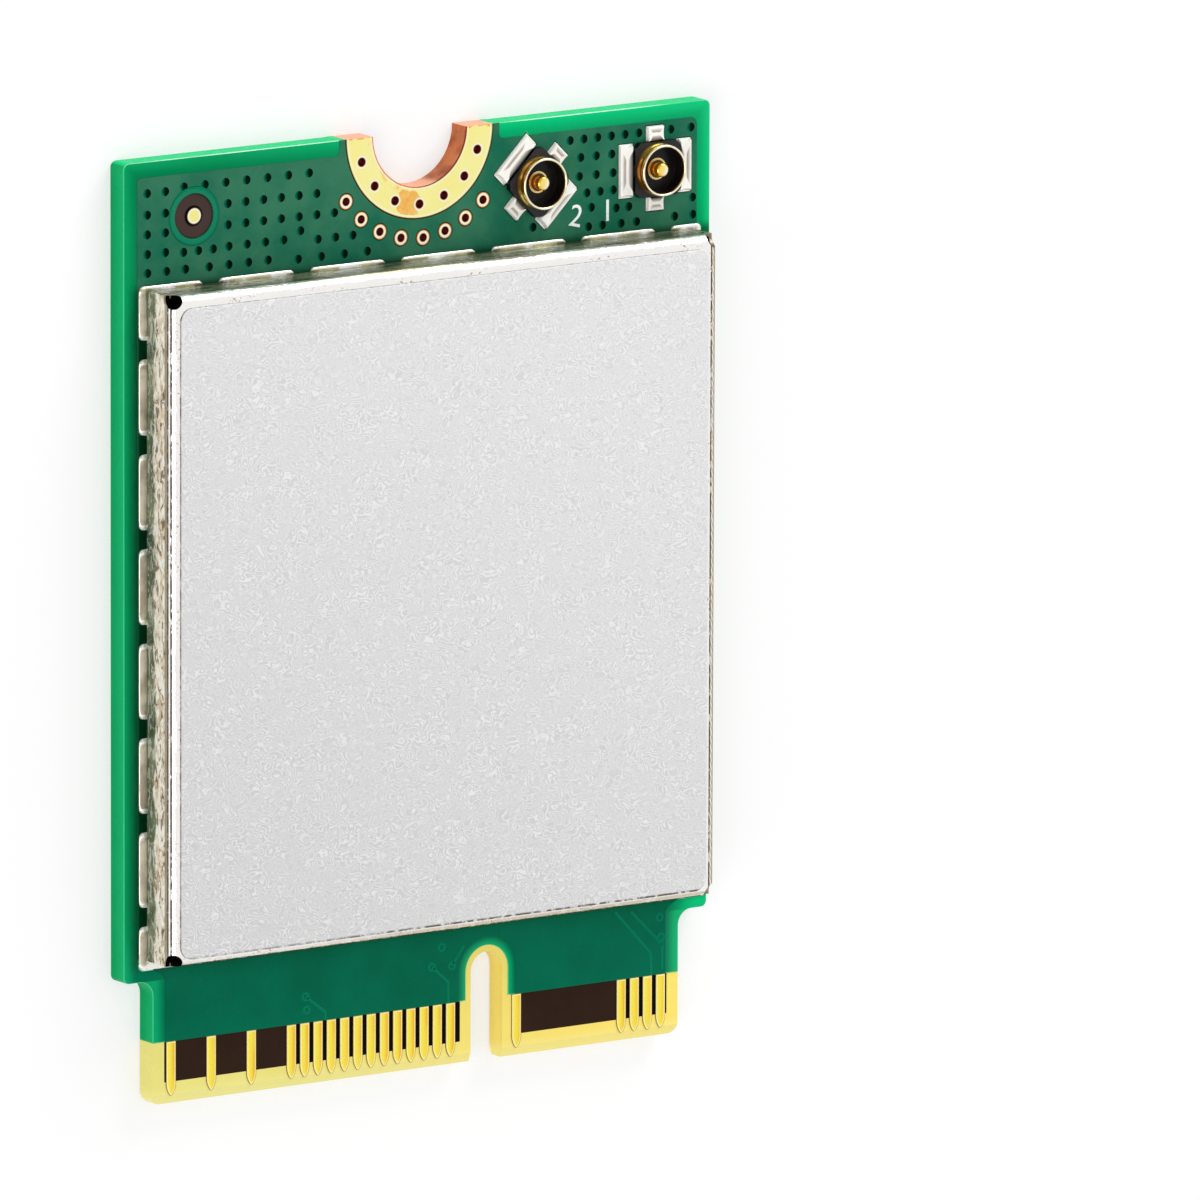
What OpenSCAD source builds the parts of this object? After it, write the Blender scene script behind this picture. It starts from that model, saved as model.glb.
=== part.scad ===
// Plug-in wireless card: a short circuit card with a row of edge contacts, a plated
// screw notch, a folded shield can over its radio parts and two antenna sockets.
// The card lies flat. X runs across it, Y runs from the contact edge to the screw
// notch and Z rises from the underside. The origin is under the middle of the card.

/* [Card] */
// Width of the card across its screw notch end
card_w = 22; // [20:0.1:30]
// Length of the card from the contact edge to the screw notch end
card_l = 30; // [25:0.1:42]
// Thickness of the card over the contacts on both faces
card_t = 0.8; // [0.6:0.05:1.2]
// Thickness of the plated copper on each face
copper_t = 0.04; // [0.03:0.005:0.05]
// Thickness of the copper in the drilled and edge-plated places
plating_t = 0.03; // [0.02:0.005:0.05]
// Thickness of the green solder mask on each face
mask_t = 0.025; // [0.015:0.005:0.03]
// Bare line between the mask and the copper that it leaves open
mask_gap = 0.03; // [0.02:0.01:0.06]
// Radius of the card's outer corners
corner_r = 0.2; // [0.1:0.05:0.5]

/* [Contact tongue] */
// Step from the card's side to the tongue's side
shoulder_w = 1.075; // [0.8:0.005:1.5]
// Length of the tongue from the shoulders to the contact edge
tongue_l = 4; // [3.6:0.1:4.8]
// Fillet where the tongue meets a shoulder
shoulder_r = 0.5; // [0.3:0.05:0.7]
// Radius of the tongue's own corners
tongue_r = 0.3; // [0.1:0.05:0.4]
// Length of the bevel that guides the tongue into its socket
bevel_l = 0.3; // [0.2:0.05:0.5]
// Depth of that bevel on each face
bevel_d = 0.12; // [0.05:0.01:0.2]
// Length of the tongue left bare of mask
bare_l = 2; // [1.9:0.05:2.4]
// Place among the numbered contacts that the key notch is cut at
key_place = 27.5; // [19.5:1:35.5]
// Width of the key notch
key_w = 1.2; // [0.9:0.05:1.4]
// Depth of the key notch from the contact edge
key_l = 3.5; // [3:0.1:4]
// Bare line between the key notch and the mask
key_bare = 0.2; // [0.1:0.05:0.3]

/* [Contacts] */
// Distance between neighbouring contacts on one face
contact_pitch = 0.5; // [0.45:0.05:0.6]
// Width of a contact
contact_w = 0.36; // [0.3:0.01:0.4]
// Distance from the tongue's side to the middle of the first contact
contact_side = 0.675; // [0.5:0.025:1]
// Distance from the contact edge to the contacts' tips
contact_tip = 0.25; // [0.1:0.05:0.35]
// Radius of the long curves that narrow a contact to its tip
contact_taper_r = 0.63; // [0.3:0.01:0.8]
// Radius of a contact's blunt tip
contact_tip_r = 0.06; // [0.04:0.01:0.1]
// Least distance from the key notch to a contact's side
key_clear = 0.3; // [0.2:0.05:0.5]

/* [Screw notch] */
// Radius of the half-round screw notch, inside its plating
screw_r = 1.75; // [1.4:0.05:2.1]
// Width of the plated land around the notch
land_w = 1; // [0.8:0.05:1.2]
// Number of small holes drilled through the land
land_hole_n = 7; // [3:1:9]
// Distance of those holes from the land's outer edge
land_hole_in = 0.45; // [0.4:0.05:0.6]
// Angle between neighbouring holes in the land
land_hole_step = 23.5; // [18:0.5:24]
// Inner width of a drilled and plated hole
via_d = 0.26; // [0.2:0.02:0.3]
// Number of plated eyelets set in an arc outside the land
eyelet_n = 8; // [3:1:9]
// Distance of the eyelets from the land's outer edge
eyelet_out = 0.63; // [0.5:0.01:0.8]
// Width of an eyelet's ring
eyelet_d = 0.5; // [0.44:0.02:0.56]
// Angle between neighbouring eyelets
eyelet_step = 14.2; // [12:0.1:16]
// Turn of the whole arc of eyelets from the card's middle line
eyelet_turn = -4.75; // [-6:0.25:6]

/* [Ground holes] */
// Width of the dimple that the mask makes over a small ground hole
dimple_d = 0.29; // [0.2:0.01:0.32]
// Depth of that dimple
dimple_depth = 0.015; // [0.005:0.001:0.015]
// Least distance from a ground hole's middle to any open copper
dimple_space = 0.24; // [0.2:0.01:0.5]

/* [Alignment mark] */
// Width of the round alignment mark
mark_d = 0.56; // [0.4:0.02:0.8]
// Width of the bare ring around the mark
mark_open_d = 1.43; // [1.2:0.01:1.6]
// Distance from the card's side to the mark
mark_x = 2.6; // [1.5:0.1:3]
// Distance from the screw notch end to the mark
mark_y = 1.87; // [1.2:0.01:2.4]

/* [Shield can] */
// Distance from the card's left side to the can
can_left = 0.85; // [0.7:0.05:1.5]
// Distance from the card's right side to the can
can_right = 0.65; // [0.5:0.05:1.5]
// Distance from the eyelets' arc to the can
can_space = 0.43; // [0.3:0.01:2]
// Distance from the shoulders to the can
can_tongue_end = 0.67; // [0.5:0.01:1.5]
// Height of the can above the card
can_h = 1.45; // [1.3:0.05:2]
// Thickness of the can's sheet
sheet_t = 0.15; // [0.1:0.01:0.2]
// Outer radius of the can's bends
bend_r = 0.28; // [0.22:0.01:0.4]
// Radius of the relief hole at each folded corner
relief_r = 0.32; // [0.3:0.01:0.4]
// Depth of the relief hole's middle inside the folded corner
relief_in = 0.08; // [0.06:0.01:0.16]
// Width of the open seam where two walls of the can meet
seam_w = 0.04; // [0.02:0.01:0.08]

/* [Shield solder] */
// Length of a solder bar along the can's long walls
side_bar_l = 2.4; // [1.8:0.1:3]
// Length of a solder bar along the can's short walls
end_bar_l = 2.8; // [1.8:0.1:3.4]
// Gap between neighbouring solder bars
bar_gap = 0.6; // [0.4:0.05:0.8]
// Length of the corner bars' legs along the long walls
side_leg_l = 1.7; // [1.2:0.05:2.4]
// Length of the left corner bars' legs along the short walls
end_leg_l = 2.35; // [1.2:0.05:2.6]
// Least length of the last leg on each wall
least_leg_l = 0.9; // [0.8:0.1:1.2]
// Width of solder showing outside the can's wall
bar_out = 0.3; // [0.2:0.01:0.45]
// Width of solder showing outside the wall at the screw notch end
bar_out_notch = 0.14; // [0.1:0.01:0.3]
// Width of solder inside the can's wall
bar_in = 0.2; // [0.1:0.01:0.3]
// Radius of the solder bars' ends
bar_r = 0.16; // [0.1:0.01:0.2]
// Height that the solder climbs up the can's wall
solder_climb = 0.2; // [0.1:0.01:0.4]
// Share of its width and height that the bead keeps in its hollow middle
bead_hollow = 0.3; // [0.2:0.05:0.5]
// Flat solder left between the climbing bead and the bar's outer edge
bead_in = 0.03; // [0.02:0.01:0.06]

/* [Label] */
// Distance from the can's outer faces to the blank label
label_in = 0.35; // [0.3:0.01:0.6]
// Thickness of the label
label_t = 0.05; // [0.03:0.01:0.1]
// Radius of the label's corners
label_r = 0.42; // [0.3:0.01:0.6]

/* [Antenna sockets] */
// Distance from the card's right side to the main socket
main_x = 2.12; // [1.9:0.01:3]
// Distance from the eyelets' arc to the second socket's middle
aux_space = 0.74; // [0.7:0.01:1.2]
// Distance from the screw notch end to both sockets
socket_y = 2; // [1.9:0.05:2.2]
// Turn of the second socket
aux_turn = -45; // [-90:5:90]
// Wall of a socket's square body outside its ring
body_wall = 0.05; // [0.03:0.01:0.2]
// Height of a socket's body
body_h = 0.22; // [0.2:0.01:0.3]
// Bevel on the corners of a socket's body
body_bevel = 0.2; // [0.1:0.01:0.24]
// Height of the floor inside a socket's ring
floor_h = 0.12; // [0.08:0.01:0.14]
// Outer width of a socket's ring
ring_d = 1.65; // [1.4:0.01:2]
// Thickness of the ring's wall
ring_t = 0.08; // [0.05:0.01:0.12]
// Height of the ring above the card
ring_h = 0.6; // [0.5:0.01:0.8]
// Length of a socket's foot outside its body
foot_l = 0.445; // [0.35:0.005:0.6]
// Length of the two side feet
side_foot_l = 1.64; // [1.2:0.01:1.7]
// Width of the feet at the socket's two ends
end_foot_w = 0.56; // [0.4:0.01:0.7]
// Thickness of the sheet that the feet are bent from
foot_t = 0.08; // [0.06:0.01:0.1]
// Width of a foot's neck where it passes through the body's side
neck_w = 0.4; // [0.3:0.05:0.5]
// Width of a socket's centre pin
pin_d = 0.46; // [0.3:0.01:0.5]
// Height of the pin's round tip above the card
pin_h = 0.55; // [0.45:0.01:0.6]
// Width of the collar around the pin
collar_d = 0.69; // [0.6:0.01:0.8]
// Height of that collar above the floor
collar_h = 0.03; // [0.02:0.01:0.05]
// Margin of a soldered land around its foot
foot_land = 0.04; // [0.02:0.01:0.06]

/* [Parts inside the can] */
// Width of the square radio chip
radio_w = 8; // [6:0.1:9]
// Height of the radio chip
radio_h = 0.85; // [0.6:0.05:1]
// Width of a square front end chip
front_w = 3; // [2.5:0.1:3]
// Height of a front end chip
front_h = 0.6; // [0.4:0.05:0.9]
// Length of a diplexer
diplexer_l = 2; // [1.6:0.1:2]
// Width of a diplexer
diplexer_w = 1.25; // [0.8:0.05:1.25]
// Height of a diplexer
diplexer_h = 0.7; // [0.5:0.05:0.9]
// Length of the crystal's package
crystal_l = 2.5; // [2:0.1:2.5]
// Width of the crystal's package
crystal_w = 2; // [1.6:0.1:2]
// Height of the crystal's package
crystal_h = 0.55; // [0.4:0.05:0.7]
// Length of the memory chip
memory_l = 3; // [2:0.1:3]
// Width of the memory chip
memory_w = 2; // [1.6:0.1:2]
// Height of the memory chip
memory_h = 0.6; // [0.4:0.05:0.8]
// Height of the crystal's metal lid
lid_t = 0.12; // [0.05:0.01:0.2]
// Ledge of the crystal's tray around its lid
lid_in = 0.15; // [0.1:0.05:0.3]
// Width of the square power regulator chip
power_w = 2; // [1.5:0.1:2]
// Height of the power regulator chip
power_h = 0.75; // [0.5:0.05:0.9]
// Width of the dimple that marks a chip's first lead
dot_d = 0.3; // [0.2:0.05:0.4]
// Distance of that dimple from the chip's sides
dot_in = 0.4; // [0.3:0.05:0.5]
// Depth of that dimple
dot_depth = 0.05; // [0.02:0.01:0.1]
// Length of a power coil
coil_l = 2.5; // [2:0.1:2.5]
// Width of a power coil
coil_w = 2; // [1.6:0.1:2]
// Height of a power coil
coil_h = 1; // [0.8:0.05:1.1]
// Height of a power coil's two feet
coil_foot_h = 0.1; // [0.05:0.05:0.2]
// Distance of those feet from the coil's sides
coil_foot_in = 0.2; // [0:0.05:0.4]
// Length of a capacitor
cap_l = 1; // [0.6:0.05:1]
// Width and height of a capacitor
cap_w = 0.5; // [0.3:0.05:0.5]
// Length of a resistor
res_l = 0.6; // [0.4:0.05:0.6]
// Width of a resistor
res_w = 0.3; // [0.2:0.05:0.3]
// Height of a resistor
res_h = 0.23; // [0.15:0.01:0.3]
// Number of capacitors on each side of the radio chip
side_caps = 5; // [1:1:5]
// Number of capacitors along the can's lower wall
row_caps = 4; // [1:1:5]
// Number of resistors in each of their two columns
col_res = 7; // [1:1:9]
// Share of a small part's length that each metal end takes
end_share = 0.25; // [0.15:0.01:0.3]
// Step from a small part's metal ends down to its body
end_step = 0.02; // [0.01:0.01:0.04]
// Clear space between the can's wall and the nearest part
wall_space = 0.7; // [0.5:0.05:0.8]
// Margin of the mask's opening around a part
part_open = 0.12; // [0.08:0.01:0.15]
// Clear space between neighbouring parts
part_space = 0.3; // [0.26:0.01:0.35]
// Distance between neighbouring leads of the flat chips
lead_pitch = 0.5; // [0.4:0.05:0.65]
// Length of a flat chip's lead
lead_l = 0.4; // [0.3:0.05:0.5]

/* [Hidden] */
$fn = 64;

// Cutters run this far past the faces that they cut
past = 1;

// The card's layers and edges
lam_low = copper_t;
lam_high = card_t - copper_t;
side_x = card_w / 2;
notch_end_y = card_l / 2;
contact_edge_y = -card_l / 2;
shoulder_y = contact_edge_y + tongue_l;
mask_edge_y = contact_edge_y + bare_l;
tongue_w = card_w - 2 * shoulder_w;

// Contact places are numbered from the right, odd on the top face and even below,
// as on every card of this family. The list gives the odd places that this card fills.
contact_first_x = tongue_w / 2 - contact_side;
place_last = 1 + floor(2 * contact_first_x / (contact_pitch / 2) + 0.01);
key_x = place_x(key_place);
top_places = concat([1, 3, 5, 7, 23], [for (n = [33:2:57]) n], [63, 69, 75]);
bottom_places = [for (n = [2:2:place_last - 1]) n];

// The plated land and the arcs of holes around the screw notch
land_r = screw_r + land_w;
land_hole_r = land_r - land_hole_in;
eyelet_r = land_r + eyelet_out;
arc_r = eyelet_r + eyelet_d / 2;

mark_at = [mark_x - side_x, notch_end_y - mark_y];

// The can's outer faces
can_x0 = can_left - side_x;
can_x1 = side_x - can_right;
can_y0 = shoulder_y + can_tongue_end;
can_y1 = notch_end_y - arc_r - can_space;
can_z0 = card_t;
can_z1 = card_t + can_h;
can_mid = [(can_x0 + can_x1) / 2, (can_y0 + can_y1) / 2];

// The soldered frame under the can's walls
frame_x0 = can_x0 - bar_out;
frame_x1 = can_x1 + bar_out;
frame_y0 = can_y0 - bar_out;
frame_y1 = can_y1 + bar_out_notch;
side_bar_w = bar_out + sheet_t + bar_in;
notch_bar_w = bar_out_notch + sheet_t + bar_in;

// The antenna sockets
main_at = [side_x - main_x, notch_end_y - socket_y];
aux_at = [arc_r + aux_space, notch_end_y - socket_y];
body_w = ring_d + 2 * body_wall;
body_half = body_w / 2;
foot_reach = body_half + foot_l;

// The parts inside the can keep to its walls or to its middle
in_x0 = can_x0 + sheet_t + wall_space;
in_x1 = can_x1 - sheet_t - wall_space;
in_y0 = can_y0 + sheet_t + wall_space;
in_y1 = can_y1 - sheet_t - wall_space;
radio_at = can_mid;
front_y = in_y1 - front_w / 2;
front_at = [[in_x1 - front_w / 2, front_y], [can_mid[0] - front_w / 2, front_y]];
diplexer_step = (front_w + diplexer_w) / 2 + part_space;
diplexer_at = [
    [front_at[0][0] - diplexer_step, in_y1 - diplexer_l / 2],
    [front_at[1][0] + diplexer_step, in_y1 - diplexer_l / 2]
];
crystal_at = [in_x0 + crystal_l / 2, in_y1 - crystal_w / 2];
memory_at = [in_x0 + memory_w / 2, can_mid[1] + memory_l / 2 + part_space];
power_at = [in_x0 + power_w / 2, can_mid[1] - power_w / 2];
coil_at = [
    [in_x0 + coil_w / 2, power_at[1] - power_w / 2 - part_space - coil_l / 2],
    [can_mid[0] - coil_w - part_space, in_y0 + coil_l / 2]
];

// Capacitors stand beside the radio chip and along the can's lower wall
cap_step = cap_l + part_space;
cap_side_x = (radio_w + cap_w) / 2 + part_space;
cap_at = concat(
    [
        for (s = [-1, 1], i = [0:side_caps - 1])
            can_mid + [s * cap_side_x, (i - (side_caps - 1) / 2) * cap_step]
    ],
    [for (i = [0:row_caps - 1]) [can_mid[0] + i * cap_step, in_y0 + cap_l / 2]]
);

// Resistors stand in two columns beside the can's right wall
res_step_x = res_w + part_space;
res_step_y = res_l + part_space;
res_at = [
    for (i = [0:col_res - 1], x = [0, res_step_x])
        [in_x1 - res_w / 2 - x, can_mid[1] + (i - (col_res - 1) / 2) * res_step_y]
];

// Ground holes stand in straight rows. A row is its first hole's distance from the card's
// side, its distance from the screw notch end, the step along it and its number of holes.
left_rows = [
    [0.86, 1, 0.67, 2], [2.22, 0.92, 0.775, 8],
    [0.86, 1.68, 0.67, 2], [3.85, 1.6, 0.66, 7],
    [0.86, 2.3, 0.67, 2], [3.85, 2.27, 0.66, 7],
    [0.86, 2.92, 0.67, 2], [2.2, 2.98, 0.55, 3], [3.88, 2.95, 0.68, 4], [6.55, 2.72, 0.8, 1],
    [7.2, 3.05, 0.65, 3],
    [0.87, 3.52, 0.7, 3], [3.15, 3.53, 0.73, 4], [6.46, 3.61, 0.86, 4]
];
right_rows = [
    [0.74, 0.82, 0.77, 2], [2.73, 0.82, 0.52, 7],
    [3.75, 1.4, 0.59, 3], [3.7, 2, 0.64, 3], [3.69, 2.55, 0.5, 3],
    [0.67, 3.07, 0.7, 1], [3.1, 3.14, 0.48, 2], [4.52, 3.03, 0.96, 2],
    [0.66, 3.62, 0.69, 2], [2.8, 3.65, 0.59, 2], [4.1, 3.64, 0.53, 2],
    [5.23, 3.7, 0.64, 2], [6.73, 3.45, 0.64, 2]
];
ground_holes = [
    for (row = left_rows, i = [0:row[3] - 1])
        [row[0] + i * row[2] - side_x, notch_end_y - row[1]],
    for (row = right_rows, i = [0:row[3] - 1])
        [side_x - row[0] - i * row[2], notch_end_y - row[1]]
];

// A flat layer between two heights
module layer(low, high) {
    translate([0, 0, low])
        linear_extrude(high - low)
            children();
}

// A rectangle with round corners, set by its low and high corners
module round_rect(low, high, r) {
    translate([low[0] + r, low[1]]) square([high[0] - low[0] - 2 * r, high[1] - low[1]]);
    translate([low[0], low[1] + r]) square([high[0] - low[0], high[1] - low[1] - 2 * r]);
    for (x = [low[0] + r, high[0] - r], y = [low[1] + r, high[1] - r])
        translate([x, y]) circle(r);
}

// A rectangle about its own middle
module mid_rect(at, w, l) {
    translate([at[0] - w / 2, at[1] - l / 2]) square([w, l]);
}

// The fillet in the corner between the tongue and the right shoulder
module shoulder_fillet() {
    translate([tongue_w / 2, shoulder_y])
        difference() {
            translate([-shoulder_r, -shoulder_r]) square(2 * shoulder_r);
            translate([shoulder_r, -shoulder_r]) circle(shoulder_r);
            translate([shoulder_r, -past]) square(2 * past);
        }
}

// The key notch, wider by the same margin all round
module key_notch(margin = 0) {
    r = key_w / 2;
    translate([key_x, contact_edge_y + key_l - r]) circle(r + margin);
    mid_rect([key_x, contact_edge_y + (key_l - r - past) / 2], 2 * (r + margin), key_l - r + past);
}

// The card's outline, with a screw notch of the given radius
module card_outline(notch_r) {
    difference() {
        union() {
            round_rect([-side_x, shoulder_y], [side_x, notch_end_y], corner_r);
            round_rect([-tongue_w / 2, contact_edge_y], [tongue_w / 2, shoulder_y + past], tongue_r);
            shoulder_fillet();
            mirror([1, 0]) shoulder_fillet();
        }
        key_notch();
        translate([0, notch_end_y]) circle(notch_r);
    }
}

// The middle of the hole at one angle around the screw notch
function notch_point(r, angle) = [r * cos(angle), notch_end_y + r * sin(angle)];
land_holes = [
    for (i = [0:land_hole_n - 1])
        notch_point(land_hole_r, -90 + (i - (land_hole_n - 1) / 2) * land_hole_step)
];
eyelets_at = [
    for (i = [0:eyelet_n - 1])
        notch_point(eyelet_r, -90 + eyelet_turn + (i - (eyelet_n - 1) / 2) * eyelet_step)
];

// The fibreglass card with its bevelled edge and drilled holes
module laminate() {
    color([0.91, 0.87, 0.52])
        difference() {
            layer(lam_low, lam_high)
                difference() {
                    card_outline(screw_r + plating_t);
                    mid_rect([0, notch_end_y], 2 * land_r, 2 * plating_t);
                    for (p = concat(land_holes, eyelets_at))
                        translate(p) circle(d = via_d + 2 * plating_t);
                }
            edge_bevel();
            translate([0, 0, card_t]) mirror([0, 0, 1]) edge_bevel();
        }
}

// The wedge cut from the contact edge's upper corner
module edge_bevel() {
    slope = bevel_d / bevel_l;
    translate([-side_x, contact_edge_y, lam_high])
        rotate([90, 0, 90])
            linear_extrude(card_w)
                polygon([
                    [-past, -bevel_d - slope * past],
                    [bevel_l, 0],
                    [bevel_l, past],
                    [-past, past]
                ]);
}

// What both masks cover, before their openings
module masked_area() {
    difference() {
        card_outline(land_r + mask_gap);
        translate([-side_x, contact_edge_y - past]) square([card_w, bare_l + past]);
        key_notch(key_bare);
        for (p = eyelets_at)
            translate(p) circle(d = eyelet_d + 2 * mask_gap);
    }
}

// A hole keeps clear of a socket if it lies outside both strips that the feet stand on.
// The hole is given from the socket's middle, before the socket is turned.
function off_strip(p, half_x, half_y) =
    abs(p[0]) > half_x + dimple_space || abs(p[1]) > half_y + dimple_space;
function unturned(p, turn) =
    [p[0] * cos(turn) + p[1] * sin(turn), p[1] * cos(turn) - p[0] * sin(turn)];
function off_socket(p) =
    off_strip(p, foot_reach, side_foot_l / 2) && off_strip(p, end_foot_w / 2, foot_reach);

// The ground holes that keep clear of the notch, the mark, the sockets and the can
function is_clear(p) =
    norm(p - [0, notch_end_y]) > arc_r + dimple_space / 2
    && norm(p - mark_at) > mark_open_d / 2 + dimple_space
    && off_socket(p - main_at)
    && off_socket(unturned(p - aux_at, aux_turn))
    && p[1] > frame_y1 + dimple_space
    && abs(p[0]) < side_x - dimple_space;

module dimples() {
    for (p = ground_holes)
        if (is_clear(p))
            translate([p[0], p[1], -dimple_depth]) cylinder(d = dimple_d, h = past);
}

// The green mask on the parts' side, open around everything that is soldered
module top_mask() {
    color([0.05, 0.42, 0.3])
        difference() {
            layer(lam_high, lam_high + mask_t)
                difference() {
                    masked_area();
                    translate(mark_at) circle(d = mark_open_d);
                    solder_bars();
                    socket_land_shapes(mask_gap);
                    part_openings();
                }
            translate([0, 0, lam_high + mask_t]) dimples();
        }
}

// The green mask on the underside
module bottom_mask() {
    color([0.05, 0.42, 0.3])
        difference() {
            layer(lam_low - mask_t, lam_low) masked_area();
            translate([0, 0, lam_low - mask_t]) mirror([0, 0, 1]) dimples();
        }
}

// The half round land on one face
module land_shape() {
    intersection() {
        translate([0, notch_end_y]) circle(land_r);
        translate([-land_r, notch_end_y - 2 * land_r]) square(2 * land_r);
    }
}

// Plated land on both faces, joined through the notch, its end faces and its holes
module screw_land() {
    color([0.96, 0.84, 0.5])
        difference() {
            union() {
                layer(lam_high, card_t) land_shape();
                layer(0, lam_low) land_shape();
                layer(lam_low, lam_high) {
                    intersection() {
                        translate([0, notch_end_y]) circle(screw_r + plating_t);
                        mid_rect([0, notch_end_y - land_r], 2 * land_r, 2 * land_r);
                    }
                    mid_rect([0, notch_end_y - plating_t / 2], 2 * land_r, plating_t);
                    for (p = land_holes)
                        translate(p) circle(d = via_d + 2 * plating_t);
                }
            }
            layer(-past, card_t + past) {
                translate([0, notch_end_y]) circle(screw_r);
                for (p = land_holes)
                    translate(p) circle(d = via_d);
            }
        }
}

// Plated eyelets through the card, each with a ring on both faces
module eyelets() {
    color([0.96, 0.84, 0.5])
        for (p = eyelets_at)
            translate(p)
                rotate_extrude() {
                    translate([via_d / 2, 0]) square([plating_t, card_t]);
                    for (z = [0, lam_high])
                        translate([via_d / 2, z]) square([(eyelet_d - via_d) / 2, copper_t]);
                }
}

// The round copper mark that a placing machine finds the card by
module alignment_mark() {
    color([0.96, 0.84, 0.5])
        layer(lam_high, card_t)
            translate(mark_at) circle(d = mark_d);
}

function place_x(n) = contact_first_x - (n - 1) * contact_pitch / 2;
function clears_key(n) = abs(place_x(n) - key_x) >= (key_w + contact_w) / 2 + key_clear;

// A contact narrows in two long curves, which run into the small round of its tip.
// The round's middle lies this far below the line where the curves start.
taper_side = contact_taper_r - contact_w / 2;
taper_in = contact_taper_r - contact_tip_r;
tip_down = sqrt(pow(taper_in, 2) - pow(taper_side, 2));
taper_l = tip_down * contact_taper_r / taper_in;

// One contact whose curves start at the origin
module contact(length) {
    translate([-contact_w / 2, 0]) square([contact_w, length]);
    intersection() {
        translate([taper_side, 0]) circle(contact_taper_r);
        translate([-taper_side, 0]) circle(contact_taper_r);
        translate([-contact_w / 2, -taper_l]) square([contact_w, taper_l]);
    }
    translate([0, -tip_down]) circle(contact_tip_r);
}

// A row of contacts, in those places that the tongue and its key leave
module contact_row(places) {
    start_y = contact_edge_y + contact_tip + contact_tip_r + tip_down;
    for (n = places)
        if (n <= place_last && clears_key(n))
            translate([place_x(n), start_y]) contact(mask_edge_y - start_y);
}

module top_contacts() {
    color([0.98, 0.8, 0.28])
        layer(lam_high, card_t) contact_row(top_places);
}

module bottom_contacts() {
    color([0.98, 0.8, 0.28])
        layer(0, lam_low) contact_row(bottom_places);
}

// Starts and ends of the bars along one wall, the two corner legs among them
function bar_count(span, leg, bar) =
    floor((span - leg - bar_gap - least_leg_l) / (bar + bar_gap));
function bar_spans(span, leg, bar) = concat(
    [[0, leg]],
    [for (i = [0:bar_count(span, leg, bar) - 1])
        [leg + bar_gap + i * (bar + bar_gap), leg + (i + 1) * (bar + bar_gap)]],
    [[leg + bar_gap + bar_count(span, leg, bar) * (bar + bar_gap), span]]
);
side_spans = bar_spans(frame_y1 - frame_y0, side_leg_l, side_bar_l);
end_spans = bar_spans(frame_x1 - frame_x0, end_leg_l, end_bar_l);

// All solder bars as a flat shape: the long walls' spans count down from the notch end
module solder_bars() {
    for (s = side_spans) {
        high = frame_y1 - s[0];
        low = frame_y1 - s[1];
        round_rect([frame_x0, low], [frame_x0 + side_bar_w, high], bar_r);
        round_rect([frame_x1 - side_bar_w, low], [frame_x1, high], bar_r);
    }
    for (s = end_spans) {
        low = frame_x0 + s[0];
        high = frame_x0 + s[1];
        round_rect([low, frame_y0], [high, frame_y0 + side_bar_w], bar_r);
        round_rect([low, frame_y1 - notch_bar_w], [high, frame_y1], bar_r);
    }
}

// Solder that has run up a wall, hollow between its foot and its upper edge
module climb(length, out) {
    hollow = bead_hollow * [out, solder_climb];
    rotate([90, 0, 90])
        linear_extrude(length)
            polygon([[0, 0], [out, 0], hollow, [0, solder_climb]]);
}

// The solder that holds the can: flat bars with a bead along the wall's outside
module shield_solder() {
    rim = bar_out - bead_in;
    rim_notch = bar_out_notch - bead_in;
    color([0.83, 0.83, 0.8]) {
        layer(lam_high, card_t) solder_bars();
        for (s = side_spans) {
            length = s[1] - s[0] - 2 * bar_r;
            high = frame_y1 - s[0] - bar_r;
            translate([can_x0, high - length, card_t])
                rotate(90) climb(length, rim);
            translate([can_x1, high, card_t])
                rotate(-90) climb(length, rim);
        }
        for (s = end_spans) {
            length = s[1] - s[0] - 2 * bar_r;
            low = frame_x0 + s[0] + bar_r;
            translate([low, can_y1, card_t]) climb(length, rim_notch);
            translate([low + length, can_y0, card_t]) rotate(180) climb(length, rim);
        }
    }
}

// A wall profile with its two upper bends: the span runs along x and the height along y
module bent_profile(span, height, r) {
    square([span, height - r]);
    translate([r, 0]) square([span - 2 * r, height]);
    for (x = [r, span - r])
        translate([x, height - r]) circle(r);
}

// A closed block with bends along its four upper edges
module bent_block(low, high, bottom, top, r) {
    intersection() {
        translate([low[0], high[1], bottom])
            rotate([90, 0, 0])
                linear_extrude(high[1] - low[1])
                    bent_profile(high[0] - low[0], top - bottom, r);
        translate([low[0], low[1], bottom])
            rotate([90, 0, 90])
                linear_extrude(high[0] - low[0])
                    bent_profile(high[1] - low[1], top - bottom, r);
    }
}

// The can is one folded sheet. Its long walls run the full length, its short walls fit
// between them with an open seam, and a relief hole frees the bends at each corner.
module shield_can() {
    low = [can_x0, can_y0];
    high = [can_x1, can_y1];
    sheet = [sheet_t, sheet_t];
    color([0.78, 0.76, 0.7])
        difference() {
            bent_block(low, high, can_z0, can_z1, bend_r);
            bent_block(low + sheet, high - sheet, can_z0 - past, can_z1 - sheet_t, bend_r - sheet_t);
            for (x = [can_x0, can_x1], y = [can_y0, can_y1])
                translate([x, y, 0])
                    mirror([x > can_mid[0] ? 1 : 0, 0, 0])
                        mirror([0, y > can_mid[1] ? 1 : 0, 0])
                            corner_cuts();
        }
}

// What is cut from a corner whose faces lie at x = 0 and y = 0
module corner_cuts() {
    translate([relief_in, relief_in, can_z1 - relief_in]) sphere(relief_r);
    translate([sheet_t, -past, can_z0 - past])
        cube([seam_w, past + sheet_t, past + can_h - relief_in]);
}

// The blank label on the can
module blank_label() {
    inset = [label_in, label_in];
    color([0.87, 0.87, 0.88])
        layer(can_z1, can_z1 + label_t)
            round_rect([can_x0, can_y0] + inset, [can_x1, can_y1] - inset, label_r);
}

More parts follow.
